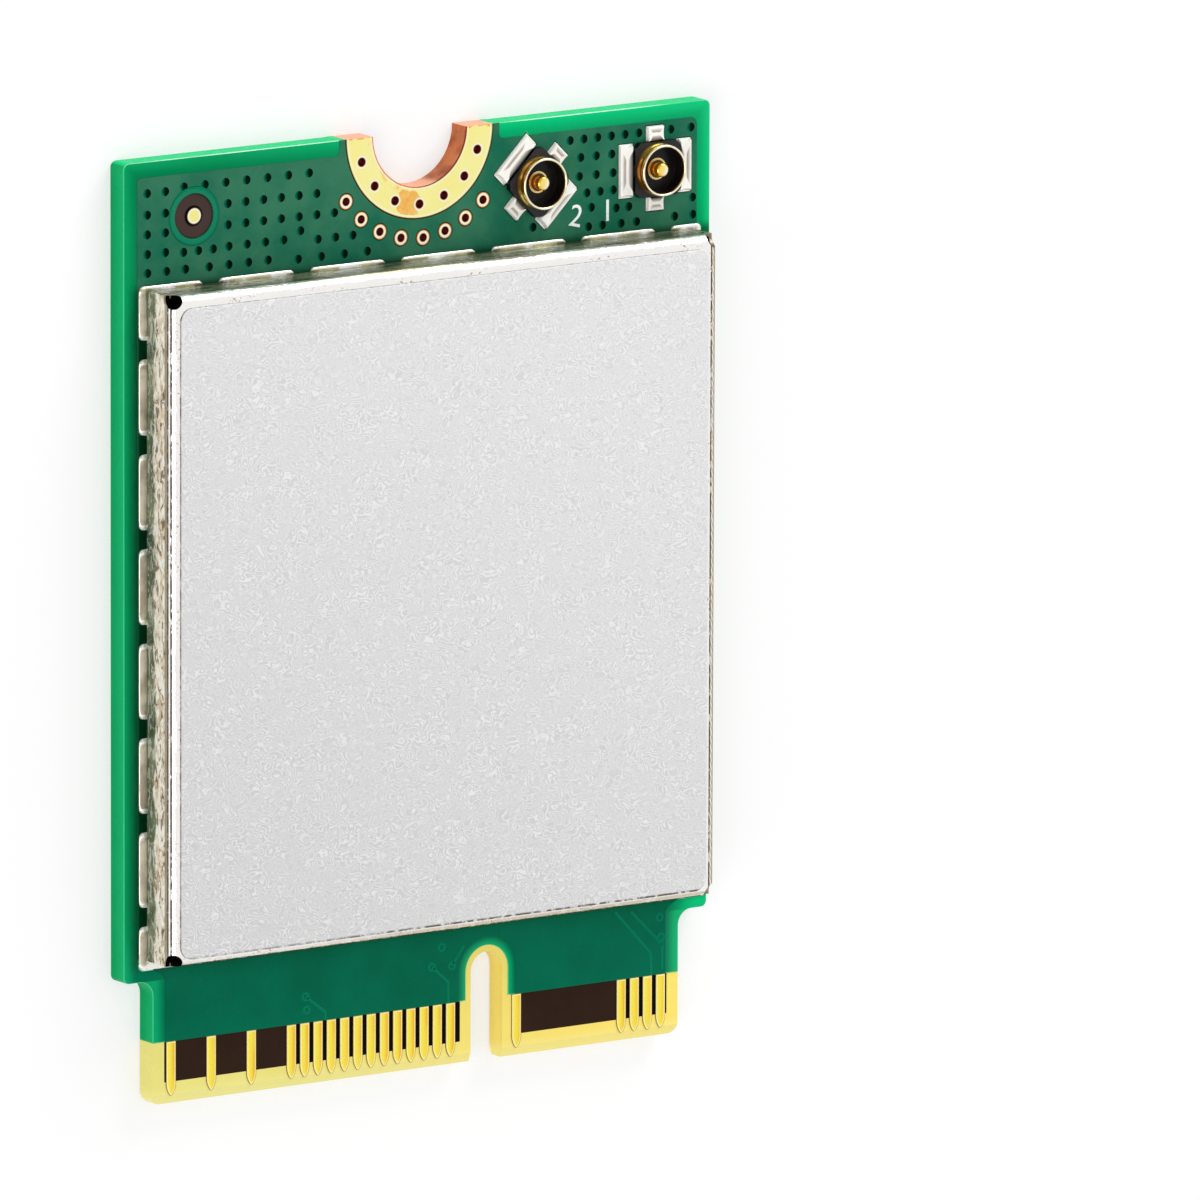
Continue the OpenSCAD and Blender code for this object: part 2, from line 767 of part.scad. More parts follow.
// Places the main socket's parts and, turned, the second socket's parts
module at_main() {
    translate([main_at[0], main_at[1], 0]) children();
}

module at_aux() {
    translate([aux_at[0], aux_at[1], 0]) rotate(aux_turn) children();
}

// Lands under the feet of one socket
module socket_land_shape(margin) {
    m = 2 * (foot_land + margin);
    foot_mid = body_half + foot_l / 2;
    for (s = [-1, 1]) {
        mid_rect([s * foot_mid, 0], foot_l + m, side_foot_l + m);
        mid_rect([0, s * foot_mid], end_foot_w + m, foot_l + m);
    }
}

module socket_land_shapes(margin = 0) {
    translate(main_at) socket_land_shape(margin);
    translate(aux_at) rotate(aux_turn) socket_land_shape(margin);
}

// Tinned lands that the sockets' feet are soldered to
module socket_lands() {
    color([0.85, 0.85, 0.83])
        layer(lam_high, card_t) socket_land_shapes();
}

// A bent foot: flat on its land, up the body's side and in through the body to the ring
module foot(width, neck) {
    root = ring_d / 2 - ring_t;
    translate([body_half, -width / 2, card_t]) cube([foot_l, width, foot_t]);
    translate([body_half, -width / 2, card_t]) cube([foot_t, width, floor_h + foot_t]);
    translate([root, -neck / 2, card_t + floor_h]) cube([body_half - root + foot_t, neck, foot_t]);
}

// The strip under a socket's body that leads from the pin to its own foot
module pin_tail() {
    tail_w = pin_d / 2;
    translate([0, -tail_w / 2, card_t]) cube([body_half, tail_w, floor_h / 2]);
}

// The dark insulating body, hollow inside the ring and slotted for the feet
module socket_body() {
    color([0.17, 0.17, 0.18])
        difference() {
            layer(card_t, card_t + body_h)
                intersection() {
                    mid_rect([0, 0], body_w, body_w);
                    rotate(45) mid_rect([0, 0], body_diag(), body_diag());
                }
            translate([0, 0, card_t + floor_h]) cylinder(d = ring_d, h = body_h);
            translate([0, 0, card_t - past]) cylinder(d = pin_d, h = 2 * past);
            for (a = [0, 90, 180])
                rotate(a)
                    translate([0, -neck_w / 2, card_t + floor_h]) cube([body_w, neck_w, foot_t]);
            rotate(-90) pin_tail();
        }
}

// Width of the turned square that bevels the body's corners
function body_diag() = sqrt(2) * (body_w - body_bevel);

// The gilded ring with three of the feet, all ground
module socket_shell() {
    color([0.9, 0.72, 0.35]) {
        difference() {
            union() {
                translate([0, 0, card_t + floor_h]) cylinder(d = ring_d, h = ring_h - floor_h);
                for (a = [0, 180])
                    rotate(a) foot(side_foot_l, neck_w);
                rotate(90) foot(end_foot_w, neck_w);
            }
            translate([0, 0, card_t + floor_h - past]) cylinder(r = ring_d / 2 - ring_t, h = 3 * past);
        }
    }
}

// The gilded centre pin with its collar, its tail and its own foot
module socket_pin() {
    straight = pin_h - pin_d / 2;
    color([0.95, 0.75, 0.3]) {
        translate([0, 0, card_t]) cylinder(d = pin_d, h = straight);
        translate([0, 0, card_t + straight]) sphere(d = pin_d);
        translate([0, 0, card_t + floor_h]) cylinder(d = collar_d, h = collar_h);
        rotate(-90) {
            pin_tail();
            translate([body_half, -end_foot_w / 2, card_t])
                cube([foot_l, end_foot_w, foot_t]);
        }
    }
}

module main_socket_body() { at_main() socket_body(); }
module main_socket_shell() { at_main() socket_shell(); }
module main_socket_pin() { at_main() socket_pin(); }
module aux_socket_body() { at_aux() socket_body(); }
module aux_socket_shell() { at_aux() socket_shell(); }
module aux_socket_pin() { at_aux() socket_pin(); }

// Mask openings around the parts inside the can
module part_openings() {
    m = 2 * part_open;
    mid_rect(radio_at, radio_w + m, radio_w + m);
    for (p = front_at) mid_rect(p, front_w + m, front_w + m);
    for (p = diplexer_at) mid_rect(p, diplexer_w + m, diplexer_l + m);
    mid_rect(crystal_at, crystal_l + m, crystal_w + m);
    mid_rect(memory_at, memory_w + m, memory_l + m);
    mid_rect(power_at, power_w + m, power_w + m);
    for (p = coil_at) mid_rect(p, coil_w + m, coil_l + m);
    for (p = cap_at) mid_rect(p, cap_w + m, cap_l + m);
    for (p = res_at) mid_rect(p, res_w + m, res_l + m);
}

// Lands along the four sides of a flat square chip, and one under its middle
module chip_lands(at, w) {
    last = floor((w - 3 * lead_l) / lead_pitch);
    translate(at) {
        mid_rect([0, 0], w - 4 * lead_l, w - 4 * lead_l);
        for (a = [0:90:270], i = [0:last])
            rotate(a)
                mid_rect([(w - lead_l) / 2, (i - last / 2) * lead_pitch], lead_l, lead_pitch / 2);
    }
}

// Lands under the two ends of a small part whose length runs along Y
module end_lands(at, w, l) {
    land_l = end_share * l;
    for (s = [-1, 1])
        mid_rect([at[0], at[1] + s * (l - land_l) / 2], w, land_l);
}

// Tinned lands for everything inside the can
module part_lands() {
    color([0.85, 0.85, 0.83])
        layer(lam_high, card_t) {
            chip_lands(radio_at, radio_w);
            for (p = front_at) chip_lands(p, front_w);
            chip_lands(power_at, power_w);
            for (p = diplexer_at) end_lands(p, diplexer_w, diplexer_l);
            end_lands(crystal_at, crystal_l, crystal_w);
            end_lands(memory_at, memory_w, memory_l);
            for (p = coil_at) end_lands(p, coil_w, coil_l);
            for (p = cap_at) end_lands(p, cap_w, cap_l);
            for (p = res_at) end_lands(p, res_w, res_l);
        }
}

// A moulded chip with the dimple that marks its first lead
module chip(at, w, l, h) {
    difference() {
        layer(card_t, card_t + h) mid_rect(at, w, l);
        translate([at[0] - w / 2 + dot_in, at[1] + l / 2 - dot_in, card_t + h - dot_depth])
            cylinder(d = dot_d, h = past);
    }
}

// A ceramic part with a metal cap on each end, its length along Y
module capped_part(at, w, l, h) {
    body_l = l * (1 - end_share);
    layer(card_t + end_step, card_t + h - end_step) mid_rect(at, w - 2 * end_step, body_l);
    layer(card_t, card_t + h) end_lands(at, w, l);
}

module radio_chip() {
    color([0.13, 0.13, 0.14]) chip(radio_at, radio_w, radio_w, radio_h);
}

module front_end_chips() {
    color([0.15, 0.15, 0.16])
        for (p = front_at) chip(p, front_w, front_w, front_h);
}

module diplexers() {
    color([0.85, 0.83, 0.76])
        for (p = diplexer_at) capped_part(p, diplexer_w, diplexer_l, diplexer_h);
}

// A ceramic tray closed with a smaller metal lid
module crystal() {
    color([0.8, 0.78, 0.72]) {
        layer(card_t, card_t + crystal_h - lid_t) mid_rect(crystal_at, crystal_l, crystal_w);
        layer(card_t + crystal_h - lid_t, card_t + crystal_h)
            mid_rect(crystal_at, crystal_l - 2 * lid_in, crystal_w - 2 * lid_in);
    }
}

module memory_chip() {
    color([0.14, 0.14, 0.15]) chip(memory_at, memory_w, memory_l, memory_h);
}

module power_chip() {
    color([0.14, 0.14, 0.15]) chip(power_at, power_w, power_w, power_h);
}

// Pressed ferrite blocks, each with two metal feet under its ends
module power_coils() {
    color([0.3, 0.3, 0.31])
        for (p = coil_at) {
            layer(card_t + coil_foot_h, card_t + coil_h) mid_rect(p, coil_w, coil_l);
            layer(card_t, card_t + coil_foot_h) end_lands(p, coil_w - 2 * coil_foot_in, coil_l);
        }
}

module capacitors() {
    color([0.72, 0.62, 0.48])
        for (p = cap_at) capped_part(p, cap_w, cap_l, cap_w);
}

module resistors() {
    color([0.2, 0.2, 0.22])
        for (p = res_at) capped_part(p, res_w, res_l, res_h);
}

laminate();
top_mask();
bottom_mask();
screw_land();
eyelets();
alignment_mark();
top_contacts();
bottom_contacts();
shield_solder();
shield_can();
blank_label();
socket_lands();
main_socket_body();
main_socket_shell();
main_socket_pin();
aux_socket_body();
aux_socket_shell();
aux_socket_pin();
part_lands();
radio_chip();
front_end_chips();
diplexers();
crystal();
memory_chip();
power_chip();
power_coils();
capacitors();
resistors();
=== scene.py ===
# %% [markdown]
# # A plug-in wireless card
#
# The real object is a circuit card 22 mm wide and 30 mm long. It carries a folded metal
# can over its radio parts, a row of gilded contacts, a plated notch for its screw and two
# antenna sockets that are no larger than a grain of rice.
#
# Its solid parts come from the CAD model and stay exactly where they are. This lesson
# gives each of them its finish, and models what a drawing leaves out: the step of the
# copper under the mask, the bowls over the ground holes, the solder's curves, the rolled
# rings of the sockets and the ink.

# %% Load the solid parts
import math

import bmesh
import bpy
import numpy as np
from mathutils import Matrix, Vector, noise


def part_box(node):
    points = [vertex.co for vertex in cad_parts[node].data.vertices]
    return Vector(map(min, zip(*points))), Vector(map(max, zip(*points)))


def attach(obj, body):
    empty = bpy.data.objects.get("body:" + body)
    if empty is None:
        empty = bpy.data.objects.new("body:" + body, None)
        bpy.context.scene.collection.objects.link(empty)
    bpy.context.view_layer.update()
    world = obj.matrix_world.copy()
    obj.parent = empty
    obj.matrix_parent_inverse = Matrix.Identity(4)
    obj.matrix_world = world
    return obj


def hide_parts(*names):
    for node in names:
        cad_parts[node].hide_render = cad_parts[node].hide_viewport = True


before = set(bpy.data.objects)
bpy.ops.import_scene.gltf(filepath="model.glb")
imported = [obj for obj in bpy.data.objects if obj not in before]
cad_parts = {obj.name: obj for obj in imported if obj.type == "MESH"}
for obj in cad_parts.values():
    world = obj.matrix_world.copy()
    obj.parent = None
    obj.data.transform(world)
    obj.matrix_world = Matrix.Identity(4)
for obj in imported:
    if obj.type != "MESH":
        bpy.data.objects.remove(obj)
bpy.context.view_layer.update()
MM = 0.001

# %% [markdown]
# ## The camera
#
# The card lies flat and the camera looks down on it from its left side. Such small things
# are taken from far away with a very long lens, so the card's edges stay nearly parallel.
# A camera is easiest to place by the direction that it looks in and the direction of the
# picture's right side. The third direction follows from those two.

# %% Place the camera
LOOKING = Vector((0.54962, -0.19201, -0.81305)).normalized()
PICTURE_RIGHT = Vector((0.82886, 0.00364, 0.55944))
PICTURE_UP = PICTURE_RIGHT.cross(LOOKING).normalized()
CAMERA_AT = Vector((-0.37327, 0.13215, 0.56314))

camera_data = bpy.data.cameras.new("camera")
camera_data.sensor_width = 36
camera_data.lens = 657.24
camera_data.clip_start = 0.05
camera_data.clip_end = 10
camera = bpy.data.objects.new("camera", camera_data)
turn = Matrix((PICTURE_UP.cross(-LOOKING), PICTURE_UP, -LOOKING)).transposed()
camera.matrix_world = Matrix.Translation(CAMERA_AT) @ turn.to_4x4()
bpy.context.scene.collection.objects.link(camera)
bpy.context.scene.camera = camera
print("camera stands", round(CAMERA_AT.length, 3), "m from the card's middle")

# %% [markdown]
# ## A notebook for finishes
#
# Every finish here is a small network of nodes. Written out with the plain calls, each
# would fill a page, so one helper class keeps a material, adds nodes to it and joins them.
# It measures the surface in millimetres from the middle of the card, so a pattern can be
# given the size that it has on the real thing.

# %% Colours and the notebook
def paint(red, green, blue):
    """A colour given as it looks on a screen, from 0 to 255, as the light that it gives back."""
    parts = [c / 255 for c in (red, green, blue)]
    return (*[c / 12.92 if c < 0.04045 else ((c + 0.055) / 1.055) ** 2.4 for c in parts], 1)


class Finish:
    """A material that grows node by node."""

    def __init__(self, name):
        self.material = bpy.data.materials.new(name)
        self.material.use_nodes = True
        self.tree = self.material.node_tree
        self.tree.nodes.clear()
        here = self.add("ShaderNodeTexCoord").outputs["Object"]
        self.mm = self.vector("MULTIPLY", here, (1000, 1000, 1000))
        parts = self.add("ShaderNodeSeparateXYZ", Vector=self.mm).outputs
        self.x, self.y, self.z = parts["X"], parts["Y"], parts["Z"]

    def add(self, kind, settings=(), **inputs):
        """A node with its settings made and its inputs set or joined."""
        made = self.tree.nodes.new(kind)
        for key, value in dict(settings).items():
            setattr(made, key, value)
        for key, value in inputs.items():
            self.join(made.inputs[key.replace("_", " ")], value)
        return made

    def join(self, socket, value):
        if isinstance(value, bpy.types.NodeSocket):
            self.tree.links.new(value, socket)
        else:
            socket.default_value = value

    def math(self, operation, *values):
        made = self.tree.nodes.new("ShaderNodeMath")
        made.operation = operation
        for socket, value in zip(made.inputs, values):
            self.join(socket, value)
        return made.outputs[0]

    def times(self, first, second):
        return self.math("MULTIPLY", first, second)

    def plus(self, first, second):
        return self.math("ADD", first, second)

    def minus(self, first, second):
        return self.math("SUBTRACT", first, second)

    def larger(self, first, second):
        return self.math("MAXIMUM", first, second)

    def smaller(self, first, second):
        return self.math("MINIMUM", first, second)

    def vector(self, operation, *values):
        made = self.tree.nodes.new("ShaderNodeVectorMath")
        made.operation = operation
        for socket, value in zip(made.inputs, values):
            self.join(socket, value)
        return made.outputs[0]

    def grain(self, scale, detail=3.0, roughness=0.55, distortion=0.0, where=None):
        """Soft clouds; scale is their number in a millimetre."""
        return self.add(
            "ShaderNodeTexNoise",
            Vector=where or self.mm,
            Scale=scale,
            Detail=detail,
            Roughness=roughness,
            Distortion=distortion,
        ).outputs["Fac"]

    def between(self, value, low, high, to_low=0.0, to_high=1.0):
        """Takes a value from low to high over to another range, held at its ends."""
        made = self.add(
            "ShaderNodeMapRange",
            {"interpolation_type": "SMOOTHSTEP"},
            Value=value,
            From_Min=low,
            From_Max=high,
            To_Min=to_low,
            To_Max=to_high,
        )
        return made.outputs["Result"]

    def falling(self, value, low, high):
        """1 below the first bound and 0 above the second."""
        return self.between(value, low, high, 1.0, 0.0)

    def wander(self, scale, detail, low, high):
        """A number that drifts between two bounds, as clouds do."""
        return self.between(self.grain(scale, detail), 0.3, 0.7, low, high)

    def mix(self, share, first, second):
        """The first colour where share is 0, the second where it is 1."""
        made = self.tree.nodes.new("ShaderNodeMix")
        made.data_type = "RGBA"
        self.join(made.inputs["Factor"], share)
        self.join([s for s in made.inputs if s.name == "A" and s.type == "RGBA"][0], first)
        self.join([s for s in made.inputs if s.name == "B" and s.type == "RGBA"][0], second)
        return [s for s in made.outputs if s.type == "RGBA"][0]

    def relief(self, height, depth_mm, under=None, strength=1.0):
        """Small relief that is too fine to be modelled."""
        made = self.add("ShaderNodeBump", Height=height, Distance=depth_mm * MM, Strength=strength)
        if under is not None:
            self.join(made.inputs["Normal"], under)
        return made.outputs["Normal"]

    def close(self, color, roughness, metallic=0.0, normal=None, **constants):
        """The shader itself. What is the same all over is set on it as a plain number."""
        shader = self.shader = self.tree.nodes.new("ShaderNodeBsdfPrincipled")
        self.join(shader.inputs["Base Color"], color)
        self.join(shader.inputs["Roughness"], roughness)
        shader.inputs["Metallic"].default_value = metallic
        if normal is not None:
            self.join(shader.inputs["Normal"], normal)
        for key, value in constants.items():
            shader.inputs[key.replace("_", " ")].default_value = value
        out = self.tree.nodes.new("ShaderNodeOutputMaterial")
        self.join(out.inputs["Surface"], shader.outputs["BSDF"])
        return self.material


def wear(node, *materials):
    """Puts finishes on one of the CAD parts."""
    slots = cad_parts[node].data.materials
    slots.clear()
    for material in materials:
        slots.append(material)


print("the notebook is ready")

# %% [markdown]
# ## Where things are on the card
#
# Several finishes change over the card: the bare tongue is pale, the border without
# copper is bright green, and rims follow the arcs of holes. All of that comes from a few
# distances, which are read from the parts' own boxes wherever a box gives them.

# %% Measure the places that finishes need
def box_mm(node):
    low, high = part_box(node)
    return [v / MM for v in low], [v / MM for v in high]


card_low, card_high = box_mm("laminate")
land_high = box_mm("screw_land")[1]
can_low, can_high = box_mm("shield_can")
contacts_low, contacts_high = box_mm("top_contacts")
mask_edge_y = box_mm("top_mask")[0][1]
mask_top = box_mm("top_mask")[1][2]
mask_bottom = box_mm("bottom_mask")[0][2]
card_top = land_high[2]
BOARD_TOP, BOARD_BOTTOM = 0.76, 0.04

# The tongue begins behind two rounded inner corners
TONGUE_Y, TONGUE_SIDE = -11.0, contacts_high[0] + 0.495
KEY_X, KEY_R, KEY_MID_Y = 2.625, 0.6, -12.1

# Copper keeps away from the card's edges, and the mask from the key notch
BORDER = 0.5
KEY_BARE, KEY_BORDER = KEY_R + 0.2, KEY_R + 0.48

# Holes lie on arcs around the screw notch. Steps and turn are in degrees.
NOTCH_Y, NOTCH_R, LAND_R = card_high[1], 1.75, land_high[0]
LAND_HOLE_R, LAND_HOLE_N, LAND_HOLE_STEP = 2.3, 7, 23.5
EYELET_R, EYELET_N, EYELET_STEP, EYELET_TURN = 3.38, 8, 14.2, -4.75

mark_low, mark_high = box_mm("alignment_mark")
MARK_AT = ((mark_low[0] + mark_high[0]) / 2, (mark_low[1] + mark_high[1]) / 2)
MARK_R, MARK_OPEN_R = (mark_high[0] - mark_low[0]) / 2, 0.715
print("mask from", mask_edge_y, "to", NOTCH_Y, "; land radius", round(LAND_R, 3))


# %% [markdown]
# A ring of holes can be drawn without a picture. The angle of a point around the notch is
# folded into one step of the ring, which moves every hole onto the same place, and then a
# single distance serves them all.

# %% Distances that follow the card
def inside(f, value, low, high, soft=0.004):
    """1 where a value lies between two bounds."""
    over = f.between(value, low - soft, low + soft)
    under = f.falling(value, high - soft, high + soft)
    return f.times(over, under)


def length(f, across, along):
    """The long side of a triangle with a right angle."""
    return f.math("SQRT", f.plus(f.times(across, across), f.times(along, along)))


def distance_from(f, place):
    """Distance to an upright line at a place on the card."""
    return length(f, f.minus(f.x, place[0]), f.minus(f.y, place[1]))


def notch_polar(f):
    """How far a point lies from the notch's middle, and its angle in degrees from straight in."""
    down = f.minus(NOTCH_Y, f.y)
    return length(f, f.x, down), f.math("DEGREES", f.math("ARCTAN2", f.x, down))


def ring_distance(f, ring_r, count, step, turn_angle=0.0):
    """Distance to the nearest hole of a ring of holes around the notch."""
    radius, angle = notch_polar(f)
    first = turn_angle - (count - 1) / 2 * step
    place = f.math("DIVIDE", f.minus(angle, first), step)
    nearest = f.smaller(f.larger(f.math("ROUND", place), 0.0), count - 1.0)
    off = f.math("RADIANS", f.times(f.minus(place, nearest), step))
    across = f.times(f.math("SINE", off), radius)
    along = f.minus(f.times(f.math("COSINE", off), radius), ring_r)
    return length(f, across, along)


print("distances are ready")

# %% Distances to the card's edges
def edge_distance(f):
    """Distance to the card's long sides and to its notch end."""
    to_middle = f.math("ABSOLUTE", f.x)
    side = f.minus(card_high[0], to_middle)
    tongue = f.minus(TONGUE_SIDE, to_middle)
    on_tongue = f.math("LESS_THAN", f.y, TONGUE_Y)
    side = f.plus(side, f.times(on_tongue, f.minus(tongue, side)))
    return f.smaller(side, f.minus(NOTCH_Y, f.y))


def border_share(f):
    """0 at the card's edge and at the key notch, 1 where the copper area begins."""
    below_key = f.larger(f.minus(f.y, KEY_MID_Y), 0.0)
    reach = length(f, f.minus(f.x, KEY_X), below_key)
    from_key = f.math("DIVIDE", f.minus(reach, KEY_BARE), KEY_BORDER - KEY_BARE)
    return f.smaller(from_key, f.math("DIVIDE", edge_distance(f), BORDER))


def upper_side(f):
    """1 on the side that carries the parts, 0 on the underside."""
    return f.between(f.z, 0.3, 0.5)


def shade_beside_can(f, start, end):
    """Share of the can's painted shade: grows from 0 to 1 towards the can's left wall, along the can's
    length.
    """
    along = inside(f, f.y, can_low[1] - 0.25, can_high[1] + 0.1, 0.2)
    along = f.times(along, upper_side(f))
    return f.times(along, f.between(f.x, can_low[0] - start, can_low[0] - end))


print("the border is", BORDER, "mm wide, and", round(KEY_BORDER - KEY_R, 2), "mm at the key notch")

# %% [markdown]
# ## Bare laminate
#
# The card is woven glass in pale yellow resin. Behind the green mask it looks green, and
# its sawn sides glow green too, because light runs through the resin. Only the tongue is
# bare. Between its contacts a dark inner layer shows through. One material holds all of
# this, because the laminate is one piece: the place on the card picks the colour.

# %% The laminate's finish
def normal_parts(f):
    """Which way a face looks, as its three parts."""
    normal = f.add("ShaderNodeTexCoord").outputs["Normal"]
    return f.add("ShaderNodeSeparateXYZ", Vector=normal).outputs


def facing_up(f):
    """How level a face lies, from 0 for an upright wall to 1 for a floor."""
    return f.math("ABSOLUTE", normal_parts(f)["Z"])


# The dark inner layer: where it ends at the key notch and at the tip, and where contacts
# stand side by side over it
INNER_LEFT_END, INNER_RIGHT_START, INNER_TIP = 1.62, 3.63, -14.3
DENSE_ROWS = ((-4.75, INNER_LEFT_END), (7.75, 9.6))


def laminate_color(f, flat):
    """Pale resin on the tongue and in the key notch, green resin everywhere else."""
    pale = f.mix(f.grain(1.2, 4), paint(226, 216, 118), paint(236, 227, 134))
    pale = f.mix(f.between(f.x, -9.0, 9.0, 0.0, 0.8), pale, paint(252, 224, 104))
    end_glow = f.falling(f.y, card_low[1] + 0.15, card_low[1] + 0.6)
    pale = f.mix(f.times(end_glow, 0.35), pale, paint(246, 240, 168))
    green = f.mix(f.between(f.z, 0.1, 0.8), paint(0, 152, 88), paint(6, 172, 104))
    green = f.mix(f.times(f.grain(0.8, 3), 0.3), green, paint(14, 190, 118))
    # Painted light: faces towards the notch end are painted a brighter green, as lit from that side
    notch_end = f.between(normal_parts(f)["Y"], 0.5, 0.8)
    green = f.mix(notch_end, green, paint(0, 206, 126))
    beside_key = inside(f, f.x, KEY_X - KEY_R - 0.3, KEY_X + KEY_R + 0.3)
    in_key = f.times(beside_key, f.falling(f.y, TONGUE_Y, TONGUE_Y + 0.1))
    upper = f.between(f.y, mask_edge_y - 0.02, mask_edge_y + 0.02)
    upper = f.times(upper, f.minus(1.0, in_key))
    color = f.mix(upper, pale, green)

    # Slits beside bare copper are dark
    slit = f.times(flat, upper)
    to_mark = distance_from(f, MARK_AT)
    bare = f.mix(f.grain(0.9, 3), paint(62, 48, 46), paint(74, 58, 56))
    bare = f.mix(f.falling(to_mark, MARK_R + 0.03, MARK_R + 0.07), bare, paint(14, 4, 3))
    bare = f.mix(f.between(to_mark, MARK_OPEN_R - 0.05, MARK_OPEN_R), bare, paint(16, 10, 9))
    return f.mix(slit, color, bare), upper


print("the inner layer shows from", INNER_TIP, "to the mask at", round(mask_edge_y, 2))


# %% The laminate between the contacts, and its weave
def laminate_finish():
    f = Finish("bare_laminate")
    flat = f.between(facing_up(f), 0.7, 0.9)
    color, upper = laminate_color(f, flat)
    left = inside(f, f.x, contacts_low[0] - 0.06, INNER_LEFT_END)
    right = inside(f, f.x, INNER_RIGHT_START, contacts_high[0] + 0.07)
    along = inside(f, f.y, INNER_TIP, mask_edge_y + 0.1)
    dark = f.times(f.times(f.larger(left, right), along), flat)
    brown = f.mix(f.grain(0.9, 4), paint(40, 26, 20), paint(52, 35, 27))
    dense = f.larger(*[inside(f, f.x, *row) for row in DENSE_ROWS])
    brown = f.mix(dense, brown, paint(10, 6, 4))
    color = f.mix(dark, color, brown)

    waves = [f.math("SINE", f.times(place, 14)) for place in (f.x, f.y)]
    weave = f.plus(*waves)
    normal = f.relief(weave, 0.0015, f.relief(f.grain(9, 3), 0.004))
    shine = f.minus(0.25, f.times(f.larger(dark, upper), 0.21))
    rough = f.wander(3, 3, 0.34, 0.46)
    material = f.close(color, rough, normal=normal, Specular_Tint=paint(255, 250, 200))
    f.join(f.shader.inputs["Specular IOR Level"], shine)
    return material


wear("laminate", laminate_finish())
print("laminate finished")

# %% [markdown]
# ## Green mask over bare board
#
# The mask is a thin green varnish. Over copper it looks deep green, and over bare board
# it is bright, most of all near the sawn edge, where light comes in from the side. Along
# that edge the varnish is drawn round by its own skin, which is why a thin line of light
# runs around every real card. The CAD part has a sharp edge there. So its mesh is copied,
# the rim is rounded on the copy, and the copy stands in for the CAD part. The rounded
# faces are also painted pale, a painted highlight of that line of light.

# %% Helpers for new pieces
def solid_copy(node):
    """The part's mesh as a bmesh in millimetres, with its faces joined along their edges."""
    made = bmesh.new()
    made.from_mesh(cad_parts[node].data)
    bmesh.ops.scale(made, verts=made.verts, vec=(1000, 1000, 1000))
    bmesh.ops.remove_doubles(made, verts=made.verts, dist=0.0002)
    return made


def piece(name, made, materials, smooth_deg=30.0):
    """Turns a bmesh in millimetres into a piece that rides on the card."""
    bmesh.ops.scale(made, verts=made.verts, vec=(MM, MM, MM))
    mesh = bpy.data.meshes.new(name)
    made.to_mesh(mesh)
    made.free()
    obj = bpy.data.objects.new(name, mesh)
    bpy.context.scene.collection.objects.link(obj)
    for material in materials:
        mesh.materials.append(material)
    for polygon in mesh.polygons:
        polygon.use_smooth = True
    mesh.set_sharp_from_angle(angle=math.radians(smooth_deg))
    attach(obj, "root")
    return obj


def applied(obj):
    """The mesh as its modifiers leave it, as a bmesh."""
    view = bpy.context.evaluated_depsgraph_get()
    made = bmesh.new()
    made.from_mesh(obj.evaluated_get(view).to_mesh())
    return made


def plain(name, made):
    """A helper object that is only used to cut another."""
    mesh = bpy.data.meshes.new(name)
    made.to_mesh(mesh)
    made.free()
    obj = bpy.data.objects.new(name, mesh)
    bpy.context.scene.collection.objects.link(obj)
    return obj


def common(first, second):
    """What two closed bmeshes share."""
    a, b = plain("first", first), plain("second", second)
    cut = a.modifiers.new("cut", "BOOLEAN")
    cut.operation, cut.solver, cut.object = "INTERSECT", "EXACT", b
    made = applied(a)
    for obj in (a, b):
        bpy.data.objects.remove(obj)
    return made


def flat_faces(made, height, within=0.0006):
    """The level faces that lie at a height."""
    return [
        face
        for face in made.faces
        if abs(face.calc_center_median().z - height) < within and abs(face.normal.z) > 0.99
    ]


def join_flat(made, height):
    """Joins touching level faces into one, and gives back all the level faces at that height."""
    chosen = set(flat_faces(made, height))
    inner = [e for e in made.edges if e.link_faces and all(x in chosen for x in e.link_faces)]
    bmesh.ops.dissolve_edges(made, edges=inner, use_verts=False)
    return flat_faces(made, height)


def smooth_only(obj, *indices):
    """Shades level and sloping faces flat, and only the given materials' faces smooth."""
    for polygon in obj.data.polygons:
        polygon.use_smooth = polygon.material_index in indices


print("helpers are ready")

# %% Round the varnish along the card's edge
VARNISH_ROUND = 0.022


def green_shine(f):
    """A weak green shine: varnish hardly mirrors, and what it mirrors takes its colour."""
    f.shader.inputs["Specular IOR Level"].default_value = 0.3
    f.shader.inputs["Specular Tint"].default_value = paint(20, 255, 170)


def opening_wall(f, color):
    """The upright walls of the mask's openings lie in shadow."""
    wall = f.falling(facing_up(f), 0.4, 0.6)
    away_from_edge = f.between(border_share(f), 1.0, 1.05)
    return f.mix(f.times(wall, away_from_edge), color, paint(4, 16, 11))


def border_finish():
    """Bright green, darker at the card's left and on the tongue, and in the can's shadow."""
    f = Finish("mask_over_board")
    share = border_share(f)
    near = f.between(share, 0.0, 1.0)
    glow = f.mix(near, paint(4, 190, 116), paint(4, 158, 98))
    left = f.mix(near, paint(2, 142, 84), paint(0, 112, 66))
    color = f.mix(f.between(f.x, -8.0, 4.0), left, glow)
    tongue = f.mix(f.between(share, 0.1, 0.95), paint(8, 156, 100), paint(0, 98, 71))
    tongue = f.mix(f.between(f.x, 9.2, 10.6), tongue, paint(6, 186, 116))
    color = f.mix(f.between(f.y, TONGUE_Y + 0.4, TONGUE_Y + 1.8), tongue, color)
    clouds = f.mix(near, paint(30, 196, 124), paint(10, 160, 104))
    color = f.mix(f.times(f.grain(0.5, 3), 0.25), color, clouds)
    # Painted shadow of the can on the border beside its left wall
    color = f.mix(f.times(shade_beside_can(f, 0.82, 0.22), 0.85), color, paint(0, 60, 30))
    color = opening_wall(f, color)
    ripple = f.relief(f.grain(2.2, 2), 0.006)
    material = f.close(color, 0.22, normal=ripple)
    green_shine(f)
    return material


